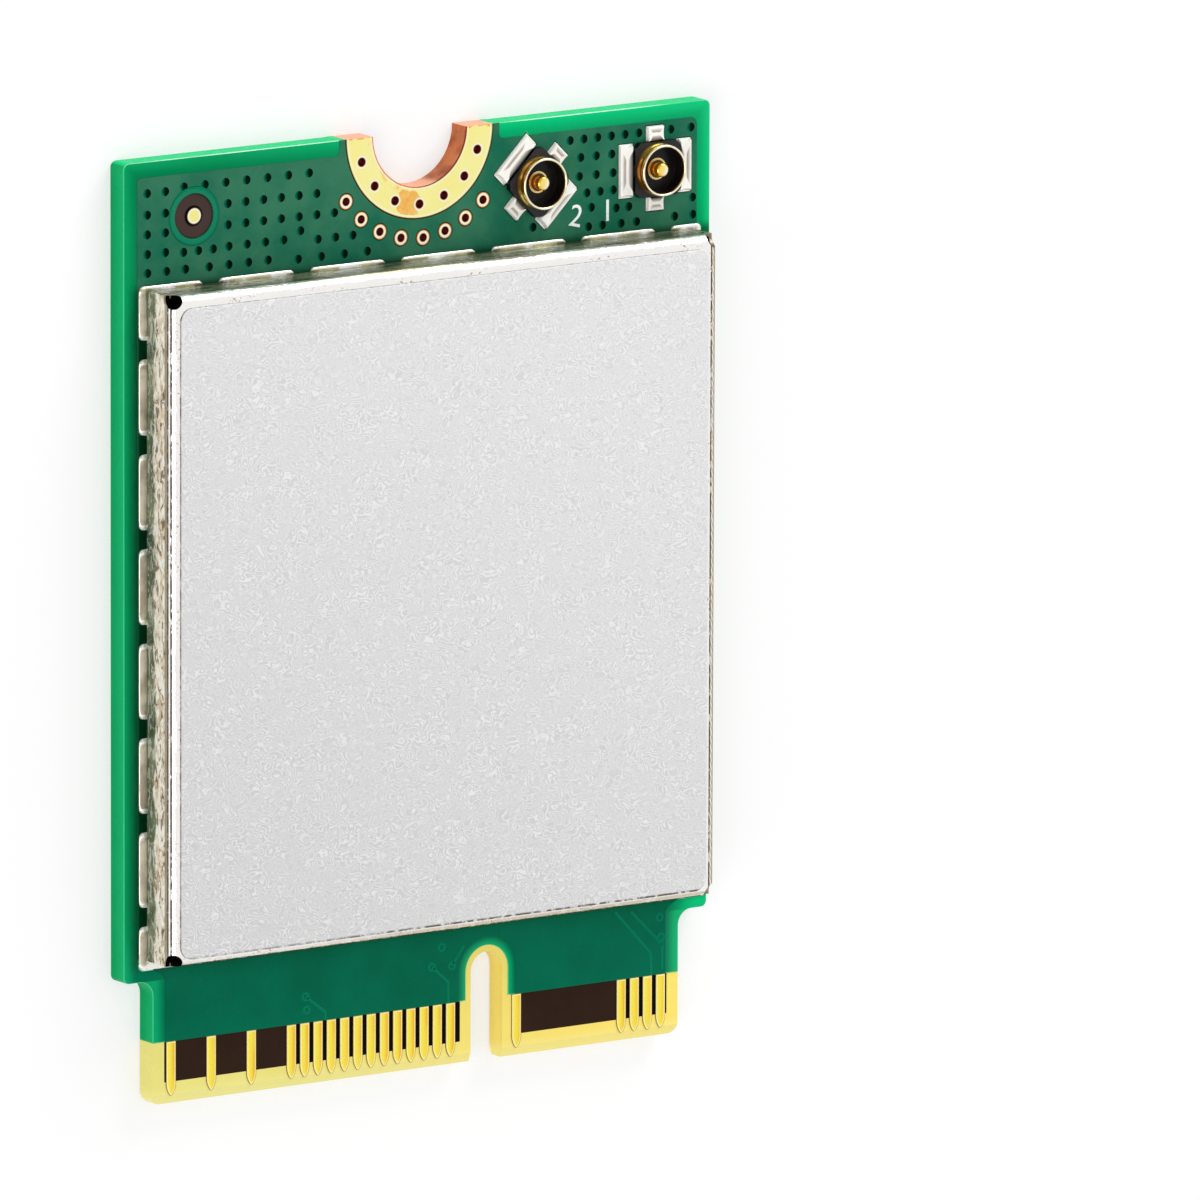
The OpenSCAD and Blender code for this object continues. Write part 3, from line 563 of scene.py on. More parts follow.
def rim_highlight_finish():
    """Painted highlight: the rounded rim is painted pale green to white, as the line of light along
    the card's edge.
    """
    f = Finish("varnish_rim_highlight")
    bright = f.between(f.grain(0.22, 2), 0.4, 0.62)
    # Painted highlight: pale green to white along the rounded rim
    color = f.mix(bright, paint(70, 206, 146), paint(214, 252, 232))
    on_side = f.between(f.y, NOTCH_Y - 0.2, NOTCH_Y - 0.05)
    color = f.mix(on_side, paint(60, 200, 138), color)
    return f.close(color, 0.2, normal=f.relief(f.grain(3, 2), 0.004))


varnish = [border_finish(), rim_highlight_finish()]


def rounded_varnish(name, node, surface, other):
    """The mask with its outer rim rounded. The rims of its openings stay sharp."""
    made = solid_copy(node)
    join_flat(made, surface)
    rim = []
    for edge in made.edges:
        heights = [v.co.z for v in edge.verts]
        if max(abs(h - surface) for h in heights) > 0.0006 or len(edge.link_faces) != 2:
            continue
        walls = [x for x in edge.link_faces if abs(x.normal.z) < 0.2]
        if walls and any(abs(v.co.z - other) < 0.002 for v in walls[0].verts):
            rim.append(edge)
    bmesh.ops.bevel(
        made, geom=rim, offset=VARNISH_ROUND, segments=2, profile=0.5, affect="EDGES", material=1
    )
    obj = piece(name, made, varnish)
    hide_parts(node)
    print(name, "rim edges rounded:", len(rim), "faces:", len(obj.data.polygons))


rounded_varnish("varnish_top", "top_mask", mask_top, BOARD_TOP)
rounded_varnish("varnish_bottom", "bottom_mask", mask_bottom, BOARD_BOTTOM)

# %% [markdown]
# ## The copper area under the mask
#
# Copper lies under most of the mask and lifts it by about a hundredth of a millimetre.
# That step is small, but it is what the eye reads as a printed circuit. It could be faked
# with bump, but then the outline would not be there in the mesh. So the mask's own mesh is
# copied, lifted, and cut with a low block that has sloping sides. What is left is the raised
# area with every opening of the mask already in it.

# %% [markdown]
# The area's outline keeps half a millimetre away from the card's edges and is wider around
# the screw notch. Its corners are round, because a plotter drew the artwork with a round
# pen.

# %% Outline of the copper area
def rounded(points, radii, steps=6):
    """The corners of an outline replaced by arcs."""
    out = []
    for i, (corner, radius) in enumerate(zip(points, radii)):
        here = Vector(corner)
        back = (Vector(points[i - 1]) - here).normalized()
        ahead = (Vector(points[(i + 1) % len(points)]) - here).normalized()
        if radius == 0:
            out.append(here)
            continue
        half = back.angle(ahead) / 2
        reach = radius / math.tan(half)
        middle = here + (back + ahead).normalized() * (radius / math.sin(half))
        start, end = here + back * reach - middle, here + ahead * reach - middle
        turn_by = start.angle_signed(end)
        for k in range(steps + 1):
            swing = Matrix.Rotation(-turn_by * k / steps, 2)
            out.append(middle + swing @ start)
    return out


LAND_STRIP = LAND_R + 0.25
side, top, past_edge = card_high[0] - BORDER, NOTCH_Y - BORDER, NOTCH_Y + 1
shoulder_y, neck_y, under_contacts = -10.3, -10.9, mask_edge_y - 1
neck_left, neck_right = -9.47, 9.42
key_arc = [
    (KEY_X + KEY_BORDER * math.cos(a), KEY_MID_Y + KEY_BORDER * math.sin(a))
    for a in np.linspace(math.pi, 0, 17)
]
outline = (
    [(-side, top), (-LAND_STRIP, top), (-LAND_STRIP, past_edge), (LAND_STRIP, past_edge)]
    + [(LAND_STRIP, top), (side, top), (side, shoulder_y)]
    + [(neck_right, neck_y), (neck_right, under_contacts), (KEY_X + KEY_BORDER, under_contacts)]
    + [*key_arc[::-1], (KEY_X - KEY_BORDER, under_contacts), (neck_left, under_contacts)]
    + [(neck_left, neck_y), (-side, shoulder_y)]
)
radii = [0.12, 0.15, 0, 0, 0.15, 0.25, 0.3, 0.3, 0, 0] + [0] * len(key_arc) + [0, 0, 0.3, 0.3]
copper_outline = rounded(outline, radii)
print("outline has", len(copper_outline), "points")

# %% Raise the copper area
STEP_UP = 0.012
STEP_SLOPE = 0.05


def low_block(outline_points, surface, upward):
    """A block that ends in a low slope around the given outline."""
    made = bmesh.new()
    top_z = surface + upward * STEP_UP
    corners = [made.verts.new((p[0], p[1], top_z)) for p in outline_points]
    face = made.faces.new(corners)
    bmesh.ops.inset_individual(made, faces=[face], thickness=STEP_SLOPE)
    for v in corners:
        v.co.z = surface
    rim = [e for e in made.edges if e.is_boundary]
    skirt = bmesh.ops.extrude_edge_only(made, edges=rim)["geom"]
    for v in [g for g in skirt if isinstance(g, bmesh.types.BMVert)]:
        v.co.z = surface - upward * 0.06
    bmesh.ops.contextual_create(made, geom=[e for e in made.edges if e.is_boundary])
    bmesh.ops.recalc_face_normals(made, faces=made.faces)
    return made


def copper_area(node, surface, upward):
    """The part of the mask that copper lifts."""
    lifted = solid_copy(node)
    bmesh.ops.translate(lifted, verts=lifted.verts, vec=(0, 0, upward * STEP_UP))
    return common(lifted, low_block(copper_outline, surface, upward))


top_area = copper_area("top_mask", mask_top, 1)
bottom_area = copper_area("bottom_mask", mask_bottom, -1)
print("copper areas have", len(top_area.faces), "and", len(bottom_area.faces), "faces")

# %% [markdown]
# Over each ground hole the varnish sinks into a small bowl. The CAD part has a flat round
# recess there. Its floor is pressed down in the middle. The bowl is painted nearly black as
# shade, with a painted lit green crescent on one side, and the curved floor is what gives the
# crescent its shape.

# %% Press the bowls
RECESS_DEPTH, RECESS_LIFT = 0.015, 0.01
BOWL_RINGS = [(0.022, 0.008), (0.03, 0.006), (0.035, 0.003)]  # how far in, and how far down


def press_bowls(made, surface, upward):
    """Makes a bowl of each flat round floor below the raised surface."""
    floors = join_flat(made, surface + upward * (STEP_UP - RECESS_DEPTH))
    bowls = [face for face in floors if len(face.verts) > 8]
    around = []
    for face in bowls:
        for v in face.verts:
            v.co.z += upward * RECESS_LIFT
    for thickness, drop in BOWL_RINGS:
        around += bmesh.ops.inset_individual(made, faces=bowls, thickness=thickness)["faces"]
        for v in {v for face in bowls for v in face.verts}:
            v.co.z -= upward * drop
    for face in [*bowls, *around]:
        face.material_index = 1
    return len(bowls)


for made, surface, upward in ((top_area, mask_top, 1), (bottom_area, mask_bottom, -1)):
    print("bowls pressed:", press_bowls(made, surface, upward))


# %% The deep green finishes
def deep_green_color(f):
    """Deep green, greyer towards the notch, with a thin light and dark ring at the mark, and painted
    shade below the can and beside its left wall.
    """
    clouds = f.between(f.grain(0.45, 4), 0.3, 0.7)
    deep = f.mix(clouds, paint(0, 90, 65), paint(0, 101, 75))
    greyish = f.mix(clouds, paint(20, 94, 72), paint(56, 112, 86))
    color = f.mix(f.between(f.y, 2.0, 12.0), deep, greyish)
    to_mark = distance_from(f, MARK_AT)
    light_ring = f.times(inside(f, to_mark, 0.72, 0.87, 0.03), 0.8)
    dark_ring = f.times(inside(f, to_mark, 0.88, 0.94, 0.02), 0.9)
    # Painted shade on the copper area just below the can's front
    below = f.times(inside(f, f.y, can_low[1] - 0.5, can_low[1] + 1, 0.4), 0.3)
    upper = upper_side(f)
    color = f.mix(f.times(light_ring, upper), color, paint(16, 122, 90))
    color = f.mix(f.times(dark_ring, upper), color, paint(0, 46, 34))
    color = f.mix(f.times(below, upper), color, paint(0, 60, 40))
    # Painted shade of the can between the bars along its left wall
    return f.mix(shade_beside_can(f, 0.4, 0.25), color, paint(0, 30, 8))


def copper_area_finish():
    f = Finish("mask_over_copper")
    slope = f.falling(facing_up(f), 0.975, 0.995)
    slope = f.times(slope, f.between(f.y, -9.6, -9.0, 0.0, 0.8))
    color = f.mix(slope, deep_green_color(f), paint(70, 60, 42))
    color = opening_wall(f, color)
    rough = f.wander(1.4, 3, 0.26, 0.4)
    material = f.close(color, rough, normal=f.relief(f.grain(1.6, 3), 0.008))
    green_shine(f)
    return material


def bowl_finish():
    """Bowls are painted near black as shade, with a painted lit green crescent on the wall that faces
    right.
    """
    f = Finish("mask_in_bowls")
    facing = normal_parts(f)
    # Painted shade: the bowl is near black
    black = f.mix(f.grain(3, 3), paint(0, 8, 5), paint(0, 18, 12))
    # Painted light: the wall that faces right is painted as a lit green crescent
    right = f.between(facing["X"], -0.02, 0.12)
    color = f.mix(right, black, paint(0, 92, 68))
    # Painted shade of the can beside its left wall
    color = f.mix(shade_beside_can(f, 0.4, 0.25), color, paint(0, 40, 14))
    material = f.close(color, 0.4, normal=f.relief(f.grain(4, 2), 0.004))
    green_shine(f)
    f.shader.inputs["Specular IOR Level"].default_value = 0.06
    return material


area_finishes = [copper_area_finish(), bowl_finish()]
for name, made in (("copper_area_top", top_area), ("copper_area_bottom", bottom_area)):
    smooth_only(piece(name, made, area_finishes), 1)
print("copper areas are in place")

# %% [markdown]
# ## Traces on the tongue
#
# A few thin traces run under the varnish towards the contacts and end in tiny rings. They
# show only as faint ridges. Each is a strip with sloping sides along a line of points, and
# each ring is a flat lathe shape, so a few points describe them all.

# %% Model the traces
trace_lines = [
    [(-4.23, -12.16), (-3.49, -12.74), (-3.49, -13.0)],
    [(0.53, -11.76), (1.15, -12.32), (1.15, -13.0)],
    [(7.5, -10.8), (8.85, -12.27), (8.89, -13.0)],
    [(8.1, -10.85), (9.3, -12.05)],
    [(9.3, -11.95), (9.3, -12.86)],
    [(1.29, -11.81), (1.75, -11.2)],
]
trace_ends = [(-4.23, -12.16), (-4.19, -12.59), (0.9, -11.17), (0.53, -11.76), (1.29, -11.81)]
trace_ends += [(9.25, -11.8), (9.2, -11.15)]
TRACE_W, TRACE_H, ROOT = 0.11, 0.007, 0.004


def add_strip(made, points, z, width, height):
    """A low ridge with sloping sides along a line of points."""
    rows = []
    for i, point in enumerate(points):
        here = Vector(point)
        before = Vector(points[max(i - 1, 0)])
        after = Vector(points[min(i + 1, len(points) - 1)])
        across = (after - before).normalized().orthogonal()
        row = []
        for offset, lift in ((-0.5, 0), (-0.25, 1), (0.25, 1), (0.5, 0)):
            spot = here + across * width * offset
            row.append(made.verts.new((spot.x, spot.y, z + (height if lift else -ROOT))))
        rows.append(row)
    for a, b in zip(rows, rows[1:]):
        for k in range(3):
            made.faces.new((a[k], a[k + 1], b[k + 1], b[k]))
        made.faces.new((a[3], a[0], b[0], b[3]))
    made.faces.new(rows[0][::-1])
    made.faces.new(rows[-1])


def add_lathe(made, centre, profile, steps=40):
    """Turns a closed profile of (radius, height) points around an upright line."""
    rings = []
    for k in range(steps):
        angle = 2 * math.pi * k / steps
        dx, dy = math.cos(angle), math.sin(angle)
        spots = [(centre[0] + r * dx, centre[1] + r * dy, z) for r, z in profile]
        rings.append([made.verts.new(spot) for spot in spots])
    for k in range(steps):
        a, b = rings[k], rings[(k + 1) % steps]
        for j in range(len(profile)):
            n = (j + 1) % len(profile)
            made.faces.new((a[j], b[j], b[n], a[n]))


area_top = mask_top + STEP_UP
root, crest, mark_crest = area_top - ROOT, area_top + TRACE_H, area_top + 0.006
traces = bmesh.new()
for points in trace_lines:
    add_strip(traces, points, area_top, TRACE_W, TRACE_H)
for centre in trace_ends:
    add_lathe(traces, centre, [(0.07, root), (0.09, crest), (0.13, crest), (0.16, root)], 24)
mark_ring = [(0.85, root), (0.87, mark_crest), (0.91, mark_crest), (0.93, root)]
add_lathe(traces, MARK_AT, mark_ring, 64)
bmesh.ops.recalc_face_normals(traces, faces=traces.faces)


def trace_finish():
    f = Finish("mask_over_traces")
    color = f.mix(f.grain(1.5, 3), paint(0, 108, 78), paint(0, 118, 86))
    material = f.close(color, 0.25, normal=f.relief(f.grain(3, 2), 0.004))
    green_shine(f)
    return material


piece("tongue_traces", traces, [trace_finish()])
print("traces laid:", len(trace_lines))

# %% [markdown]
# ## Gilded contacts
#
# Each contact is thick copper with nickel and gold over it. Its shoulders slope, because
# the etch bites under its edges. They are painted pale beside the yellow top, a painted
# highlight, and brown along their foot. So the outlines of the CAD contacts are kept, their
# top faces get a narrow inset, and the outer line is pulled down a little.

# %% Model the contacts' sloping shoulders
CONTACT_PITCH = 0.5
SHOULDER = 0.06
SHOULDER_DROP = 0.018


def sloped_pads(node, surface, upward):
    """A copy of flat pads with a narrow slope around each outer face."""
    made = solid_copy(node)
    tops = join_flat(made, surface)
    rims = {v for face in tops for v in face.verts}
    inset = bmesh.ops.inset_individual(made, faces=tops, thickness=SHOULDER, use_even_offset=True)
    for v in rims:
        v.co.z -= upward * SHOULDER_DROP
    for face in inset["faces"]:
        face.material_index = 1
    for face in tops:
        face.material_index = 2
    return made


def contact_side_finish():
    """The etched sides are dull brown gold."""
    f = Finish("contact_sides")
    color = f.mix(f.grain(1.5, 4), paint(120, 80, 26), paint(170, 120, 40))
    return f.close(color, f.wander(6, 3, 0.2, 0.34), 1.0, f.relief(f.grain(5, 3), 0.0015))


def contact_top_finish():
    """Gold, with painted light that runs from pale to deep across each contact."""
    f = Finish("contact_tops")
    off = f.minus(f.math("FLOORED_MODULO", f.x, CONTACT_PITCH), CONTACT_PITCH / 2)
    # Painted light: each contact is paler on its left and deeper on its right
    across = f.between(off, -0.06, 0.13)
    blend = f.times(across, f.between(f.grain(0.5, 1), 0.35, 0.6, 0.4, 0.95))
    color = f.mix(blend, paint(255, 236, 80), paint(250, 180, 34))
    rough = f.wander(1, 2, 0.24, 0.3)
    return f.close(color, rough, 0.75, f.relief(f.grain(1.2, 1), 0.001))


def contact_rim_finish():
    """The sloping shoulder: pale gold as a painted highlight, and brown along its foot."""
    f = Finish("contact_shoulders")
    top_z = contacts_high[2]
    foot = f.falling(f.z, top_z - SHOULDER_DROP, top_z - SHOULDER_DROP * 0.5)
    # Painted highlight: the shoulder's pale gold
    pale = f.mix(f.grain(1, 3), paint(255, 246, 176), paint(254, 234, 132))
    color = f.mix(foot, pale, paint(136, 88, 22))
    return f.close(color, f.wander(6, 3, 0.3, 0.45), 0.2, f.relief(f.grain(5, 3), 0.001))


contact_gold = [contact_side_finish(), contact_rim_finish(), contact_top_finish()]
for name, node, surface, upward in (
    ("gilded_contacts_top", "top_contacts", contacts_high[2], 1),
    ("gilded_contacts_bottom", "bottom_contacts", 0.0, -1),
):
    pads = piece(name, sloped_pads(node, surface, upward), contact_gold)
    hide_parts(node)
    print(name, len(pads.data.polygons), "faces")

# %% [markdown]
# ## Screw land, eyelets and mark
#
# The land is plated with pale gold. Its inner wall is copper that a router has cut, so it
# is orange. Flux has left an amber stain and specks, and an orange crust along the card's
# end. All of it is one material on the CAD part, because rims and stains follow from
# distances around the notch, and separate pieces would need edges where there are none.

# %% The land's gold
STAIN_AT, STAIN_R = (-0.42, NOTCH_Y - 2.24), 0.43


def land_gold(f, radius, holes):
    """The level faces: gold with its stains, and the rims of the land, the notch and the holes."""
    gold = f.mix(f.grain(0.9, 4), paint(255, 240, 130), paint(255, 252, 180))

    ragged = f.times(f.minus(f.grain(2.2, 2), 0.5), 0.5)
    stain = f.falling(f.plus(distance_from(f, STAIN_AT), ragged), STAIN_R - 0.03, STAIN_R + 0.03)
    stain = f.times(stain, f.between(f.grain(2.6, 4), 0.35, 0.65, 0.7, 1.0))
    gold = f.mix(stain, gold, paint(250, 180, 80))
    near_notch = f.falling(radius, NOTCH_R + 0.05, NOTCH_R + 0.3)
    speck = f.times(f.between(f.grain(1.6, 3), 0.58, 0.64), near_notch)
    gold = f.mix(f.times(speck, 0.8), gold, paint(255, 184, 84))

    # From outside in: a crust at the card's end, a white line and a dark outline, then the
    # notch's own rim, which light reaches only from the left, and the rims of the holes
    crust = f.plus(f.minus(NOTCH_Y, f.y), f.times(f.grain(4, 2), 0.3))
    gold = f.mix(f.between(crust, 0.16, 0.2, 0.8, 0.0), gold, paint(250, 160, 70))
    gold = f.mix(inside(f, radius, LAND_R - 0.1, LAND_R - 0.05, 0.012), gold, paint(255, 252, 214))
    gold = f.mix(f.between(radius, LAND_R - 0.035, LAND_R - 0.015), gold, paint(150, 82, 34))
    bright = inside(f, radius, NOTCH_R + 0.05, NOTCH_R + 0.09, 0.012)
    gold = f.mix(bright, gold, paint(255, 250, 222))
    cut = f.mix(f.between(f.x, -0.6, 0.6), paint(240, 122, 58), paint(120, 36, 14))
    gold = f.mix(f.falling(radius, NOTCH_R + 0.02, NOTCH_R + 0.045), gold, cut)
    gold = f.mix(f.falling(holes, 0.19, 0.22), gold, paint(255, 252, 226))
    return f.mix(f.falling(holes, 0.14, 0.165), gold, paint(150, 60, 30))


print("the land has", LAND_HOLE_N, "holes and", EYELET_N, "eyelets around it")


# %% Finishes of the plated parts
def land_finish():
    """Gold on the level faces and routed copper in the notch."""
    f = Finish("plated_notch")
    radius = notch_polar(f)[0]
    holes = ring_distance(f, LAND_HOLE_R, LAND_HOLE_N, LAND_HOLE_STEP)
    gold = land_gold(f, radius, holes)
    wall = f.falling(facing_up(f), 0.4, 0.6)
    copper = f.mix(f.between(f.grain(1.2, 4), 0.35, 0.65), paint(208, 124, 74), paint(158, 78, 40))
    copper = f.mix(f.between(f.z, card_top - 0.07, card_top - 0.01), copper, paint(150, 52, 22))
    # Painted light: end faces that look towards the notch end are painted paler, as lit from that side
    copper = f.mix(f.between(normal_parts(f)["Y"], 0.9, 0.97), copper, paint(255, 186, 146))
    copper = f.mix(f.falling(holes, 0.14, 0.17), copper, paint(150, 34, 22))
    color = f.mix(wall, gold, copper)
    rough = f.wander(5, 3, 0.3, 0.44)
    return f.close(color, rough, 0.85, f.relief(f.grain(9, 3), 0.003))


def eyelet_finish():
    """Cream rings with a brown outline and a red-brown inside."""
    f = Finish("plated_eyelets")
    off = ring_distance(f, EYELET_R, EYELET_N, EYELET_STEP, EYELET_TURN)
    color = f.mix(f.grain(3, 3), paint(255, 246, 204), paint(255, 252, 226))
    color = f.mix(f.between(off, 0.208, 0.228), color, paint(190, 112, 34))
    color = f.mix(f.falling(off, 0.132, 0.15), color, paint(150, 34, 22))
    return f.close(color, 0.34, 0.6, f.relief(f.grain(9, 3), 0.002))


def mark_finish():
    """Pale gold with a white rim and a dark outline."""
    f = Finish("mark_gold")
    gold = f.mix(f.grain(1.5, 4), paint(254, 246, 160), paint(252, 240, 140))
    off = distance_from(f, MARK_AT)
    color = f.mix(f.between(off, MARK_R - 0.11, MARK_R - 0.07), gold, paint(255, 255, 232))
    color = f.mix(f.between(off, MARK_R - 0.05, MARK_R - 0.025), color, paint(60, 40, 20))
    rough = f.wander(6, 3, 0.3, 0.4)
    return f.close(color, rough, 0.9, f.relief(f.grain(5, 3), 0.0015))


wear("screw_land", land_finish())
wear("eyelets", eyelet_finish())
wear("alignment_mark", mark_finish())
print("plated parts finished")

# %% [markdown]
# ## Solder along the can
#
# The can stands in bars of solder. Molten solder wets the wall and climbs it in a hollow
# curve, is thick in the middle of each bar and runs out at its ends. A boolean or a bevel
# gives none of that, so each bar is swept: a cross section is moved along the wall, and its
# height and width change on the way. Where each bar starts and ends is read from the CAD
# part, whose solids are told apart by walking along their edges.

# %% Read the bars from the CAD part
def islands(node):
    """The boxes of a part's separate solids, in millimetres."""
    made = solid_copy(node)
    seen, boxes = set(), []
    for first in made.verts:
        if first in seen:
            continue
        seen.add(first)
        group, edge_of = [], [first]
        while edge_of:
            v = edge_of.pop()
            group.append(v.co)
            for e in v.link_edges:
                other = e.other_vert(v)
                if other not in seen:
                    seen.add(other)
                    edge_of.append(other)
        spots = np.array([tuple(c) for c in group])
        boxes.append((spots.min(0), spots.max(0)))
    made.free()
    return boxes


solder_low, solder_high = box_mm("shield_solder")
bars = islands("shield_solder")
print("bars around the can:", len(bars))

# %% The cross section of a bar
BAR_ROUND = 0.16  # radius of a bar's corners
INSIDE = 0.33  # how far a bar reaches under the can
BAR_FLOOR, BAR_EDGE, BAR_RIM = 0.76, 0.785, 0.8


def swell(place, seed):
    """Slow uneven swelling along a bar."""
    return noise.noise(Vector((place * 1.7, seed * 7.3, 0.5))) + 0.5 * noise.noise(
        Vector((place * 5.1, seed * 3.1, 4.0))
    )


def bar_section(rise, reach, lip, squeeze):
    """Points (away from the wall, up) of a cross section: up inside, then down the hollow outside."""
    section = [(-INSIDE + squeeze, BAR_FLOOR), (-INSIDE + squeeze, BAR_RIM), (0.0, BAR_RIM + rise)]
    for k in range(1, 9):
        u = k / 8
        hollow = rise * (1 - u) ** 2.4
        outer = max(0.0, (u - 0.55) / 0.45)
        crown = lip * math.sqrt(max(0.0, 1 - outer**2)) * min(1, u / 0.4)
        section.append((reach * u, BAR_EDGE + 0.015 * (1 - u) + hollow + crown))
    return [*section, (reach, BAR_FLOOR)]


print("a section has", len(bar_section(0.04, 0.3, 0.03, 0.0)), "points")


# %% Sweep the bars
def add_bar(made, start, end, wall, out, width, wall_span, seed):
    """A bar from start to end along a wall. out points away from the wall."""
    along_x = abs(out[1]) > 0.5
    count = max(8, int((end - start) / 0.05))
    places, rings = [], []
    for i in range(count + 1):
        place = start + (end - start) * (1 - math.cos(math.pi * i / count)) / 2
        near = min(place - start, end - place)
        squeeze = 0.0
        if near < BAR_ROUND:
            squeeze = BAR_ROUND - math.sqrt(max(0.0, BAR_ROUND**2 - (BAR_ROUND - near) ** 2))
        to_end = min(place - max(start, wall_span[0]), min(end, wall_span[1]) - place)
        fade = min(1.0, max(0.0, to_end / 0.42))
        fade = fade * fade * (3 - 2 * fade)
        rise = (0.04 + 0.03 * swell(place, seed)) * fade + 0.004
        to_tip = max(0.0, 1 - near / 0.3)
        drop = 0.05 * to_tip * (1 - to_tip) * 4 * min(1.0, width / 0.2)
        lip = 0.03 + 0.006 * swell(place * 2, seed + 5) + drop
        points = []
        for off, z in bar_section(rise, width - squeeze * 0.999, lip, squeeze):
            spot = (place, wall + out[1] * off) if along_x else (wall + out[0] * off, place)
            points.append(made.verts.new((*spot, z)))
        places.append(place)
        rings.append(points)
    for i, (a, b) in enumerate(zip(rings, rings[1:])):
        place = (places[i] + places[i + 1]) / 2
        at_tip = min(place - start, end - place) < 0.15
        for j in range(len(a)):
            n = (j + 1) % len(a)
            face = made.faces.new((a[j], a[n], b[n], b[j]))
            face.material_index = 0 if at_tip or out[0] >= 0 else 1
    made.faces.new(rings[0])
    made.faces.new(rings[-1][::-1])


solder = bmesh.new()
done = 0
for low, high in bars:
    for axis in (0, 1):
        other = 1 - axis
        for side_sign in (-1, 1):
            edge = solder_low[axis] if side_sign < 0 else solder_high[axis]
            wall = can_low[axis] if side_sign < 0 else can_high[axis]
            reach_here = low[axis] if side_sign < 0 else high[axis]
            if abs(reach_here - edge) > 0.02 or high[other] - low[other] < 0.8:
                continue
            if high[axis] - low[axis] > 0.9 and high[other] - low[other] < 0.9:
                continue
            start, end = low[other], high[other]
            out = [0, 0]
            out[axis] = side_sign
            span = (can_low[other], can_high[other])
            add_bar(solder, start, end, wall, out, abs(edge - wall), span, done)
            done += 1
bmesh.ops.recalc_face_normals(solder, faces=solder.faces)
print("bars swept:", done)


# %% The solder's two finishes
def solder_finish():
    """Bright solder, with an olive stain of flux where it meets the short wall."""
    f = Finish("bright_solder")
    color = f.mix(f.grain(2.5, 4), paint(254, 253, 248), paint(246, 243, 232))
    at_wall = inside(f, f.y, can_high[1] - 0.02, can_high[1] + 0.07, 0.04)
    stain = f.times(at_wall, f.between(f.grain(0.9, 3), 0.4, 0.5))
    color = f.mix(f.times(stain, 0.8), color, paint(164, 158, 70))
    rough = f.wander(3.5, 4, 0.2, 0.3)
    return f.close(color, rough, 0.55, f.relief(f.grain(2, 1), 0.002))


def dull_solder_finish():
    """The long bars are dull: only their outer edge is painted bright, as a painted highlight."""
    f = Finish("dull_solder")
    dull = f.mix(f.between(f.grain(1.1, 3), 0.35, 0.65), paint(172, 162, 138), paint(220, 211, 188))
    # Painted highlight along the bars' outer edge
    rim = f.falling(f.x, solder_low[0] + 0.02, solder_low[0] + 0.05)
    color = f.mix(rim, dull, paint(250, 246, 234))
    at_wall = f.between(f.x, can_low[0] - 0.07, can_low[0] - 0.01)
    color = f.mix(f.times(at_wall, 0.7), color, paint(86, 84, 60))
    rough = f.wander(3.5, 4, 0.3, 0.4)
    return f.close(color, rough, 0.5, f.relief(f.grain(3, 2), 0.004))


solder_bright = solder_finish()
beads = piece("can_solder", solder, [solder_bright, dull_solder_finish()], 60)
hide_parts("shield_solder")
wear("socket_lands", solder_bright)
wear("part_lands", solder_bright)
print("solder faces:", len(beads.data.polygons))

# %% [markdown]
# ## The folded can
#
# Thin nickel silver with a tin skin. Rolling leaves it smooth, and the heat of soldering
# makes the skin run and mottle. The CAD part has the true folds and the relief holes at its
# corners, so only its finish is made here. Through those holes the inside of the can shows,
# which lies in shade and is painted black. It is found by its depth below the outer faces.

# %% Where the shaded inside shows
BEND_R, RELIEF_R, RELIEF_IN = 0.28, 0.32, 0.08
BEND_START = can_high[2] - BEND_R


def shaded_inside(f):
    """Where black is painted as shade: 1 on the cut faces of the relief holes and on the sheet's inner
    side behind them.
    """
    depths = []
    for axis, place in enumerate((f.x, f.y)):
        middle, half = (can_low[axis] + can_high[axis]) / 2, (can_high[axis] - can_low[axis]) / 2
        depths.append(f.minus(half, f.math("ABSOLUTE", f.minus(place, middle))))
    depths.append(f.minus(can_high[2], f.z))
    squares = [f.math("POWER", f.minus(depth, RELIEF_IN), 2.0) for depth in depths]
    reach = f.math("SQRT", f.plus(squares[0], f.plus(squares[1], squares[2])))
    cut = f.falling(reach, RELIEF_R + 0.004, RELIEF_R + 0.014)
    # The cut faces of the right-hand holes get less of the painted shade
    cut = f.times(cut, f.between(f.x, 0.0, 1.0, 1.0, 0.2))
    least = f.smaller(f.smaller(depths[0], depths[1]), depths[2])
    behind = f.between(least, 0.08, 0.12)
    return f.larger(cut, f.times(behind, f.falling(reach, 0.9, 1.1)))


print("the bends start at a height of", round(BEND_START, 2), "mm")


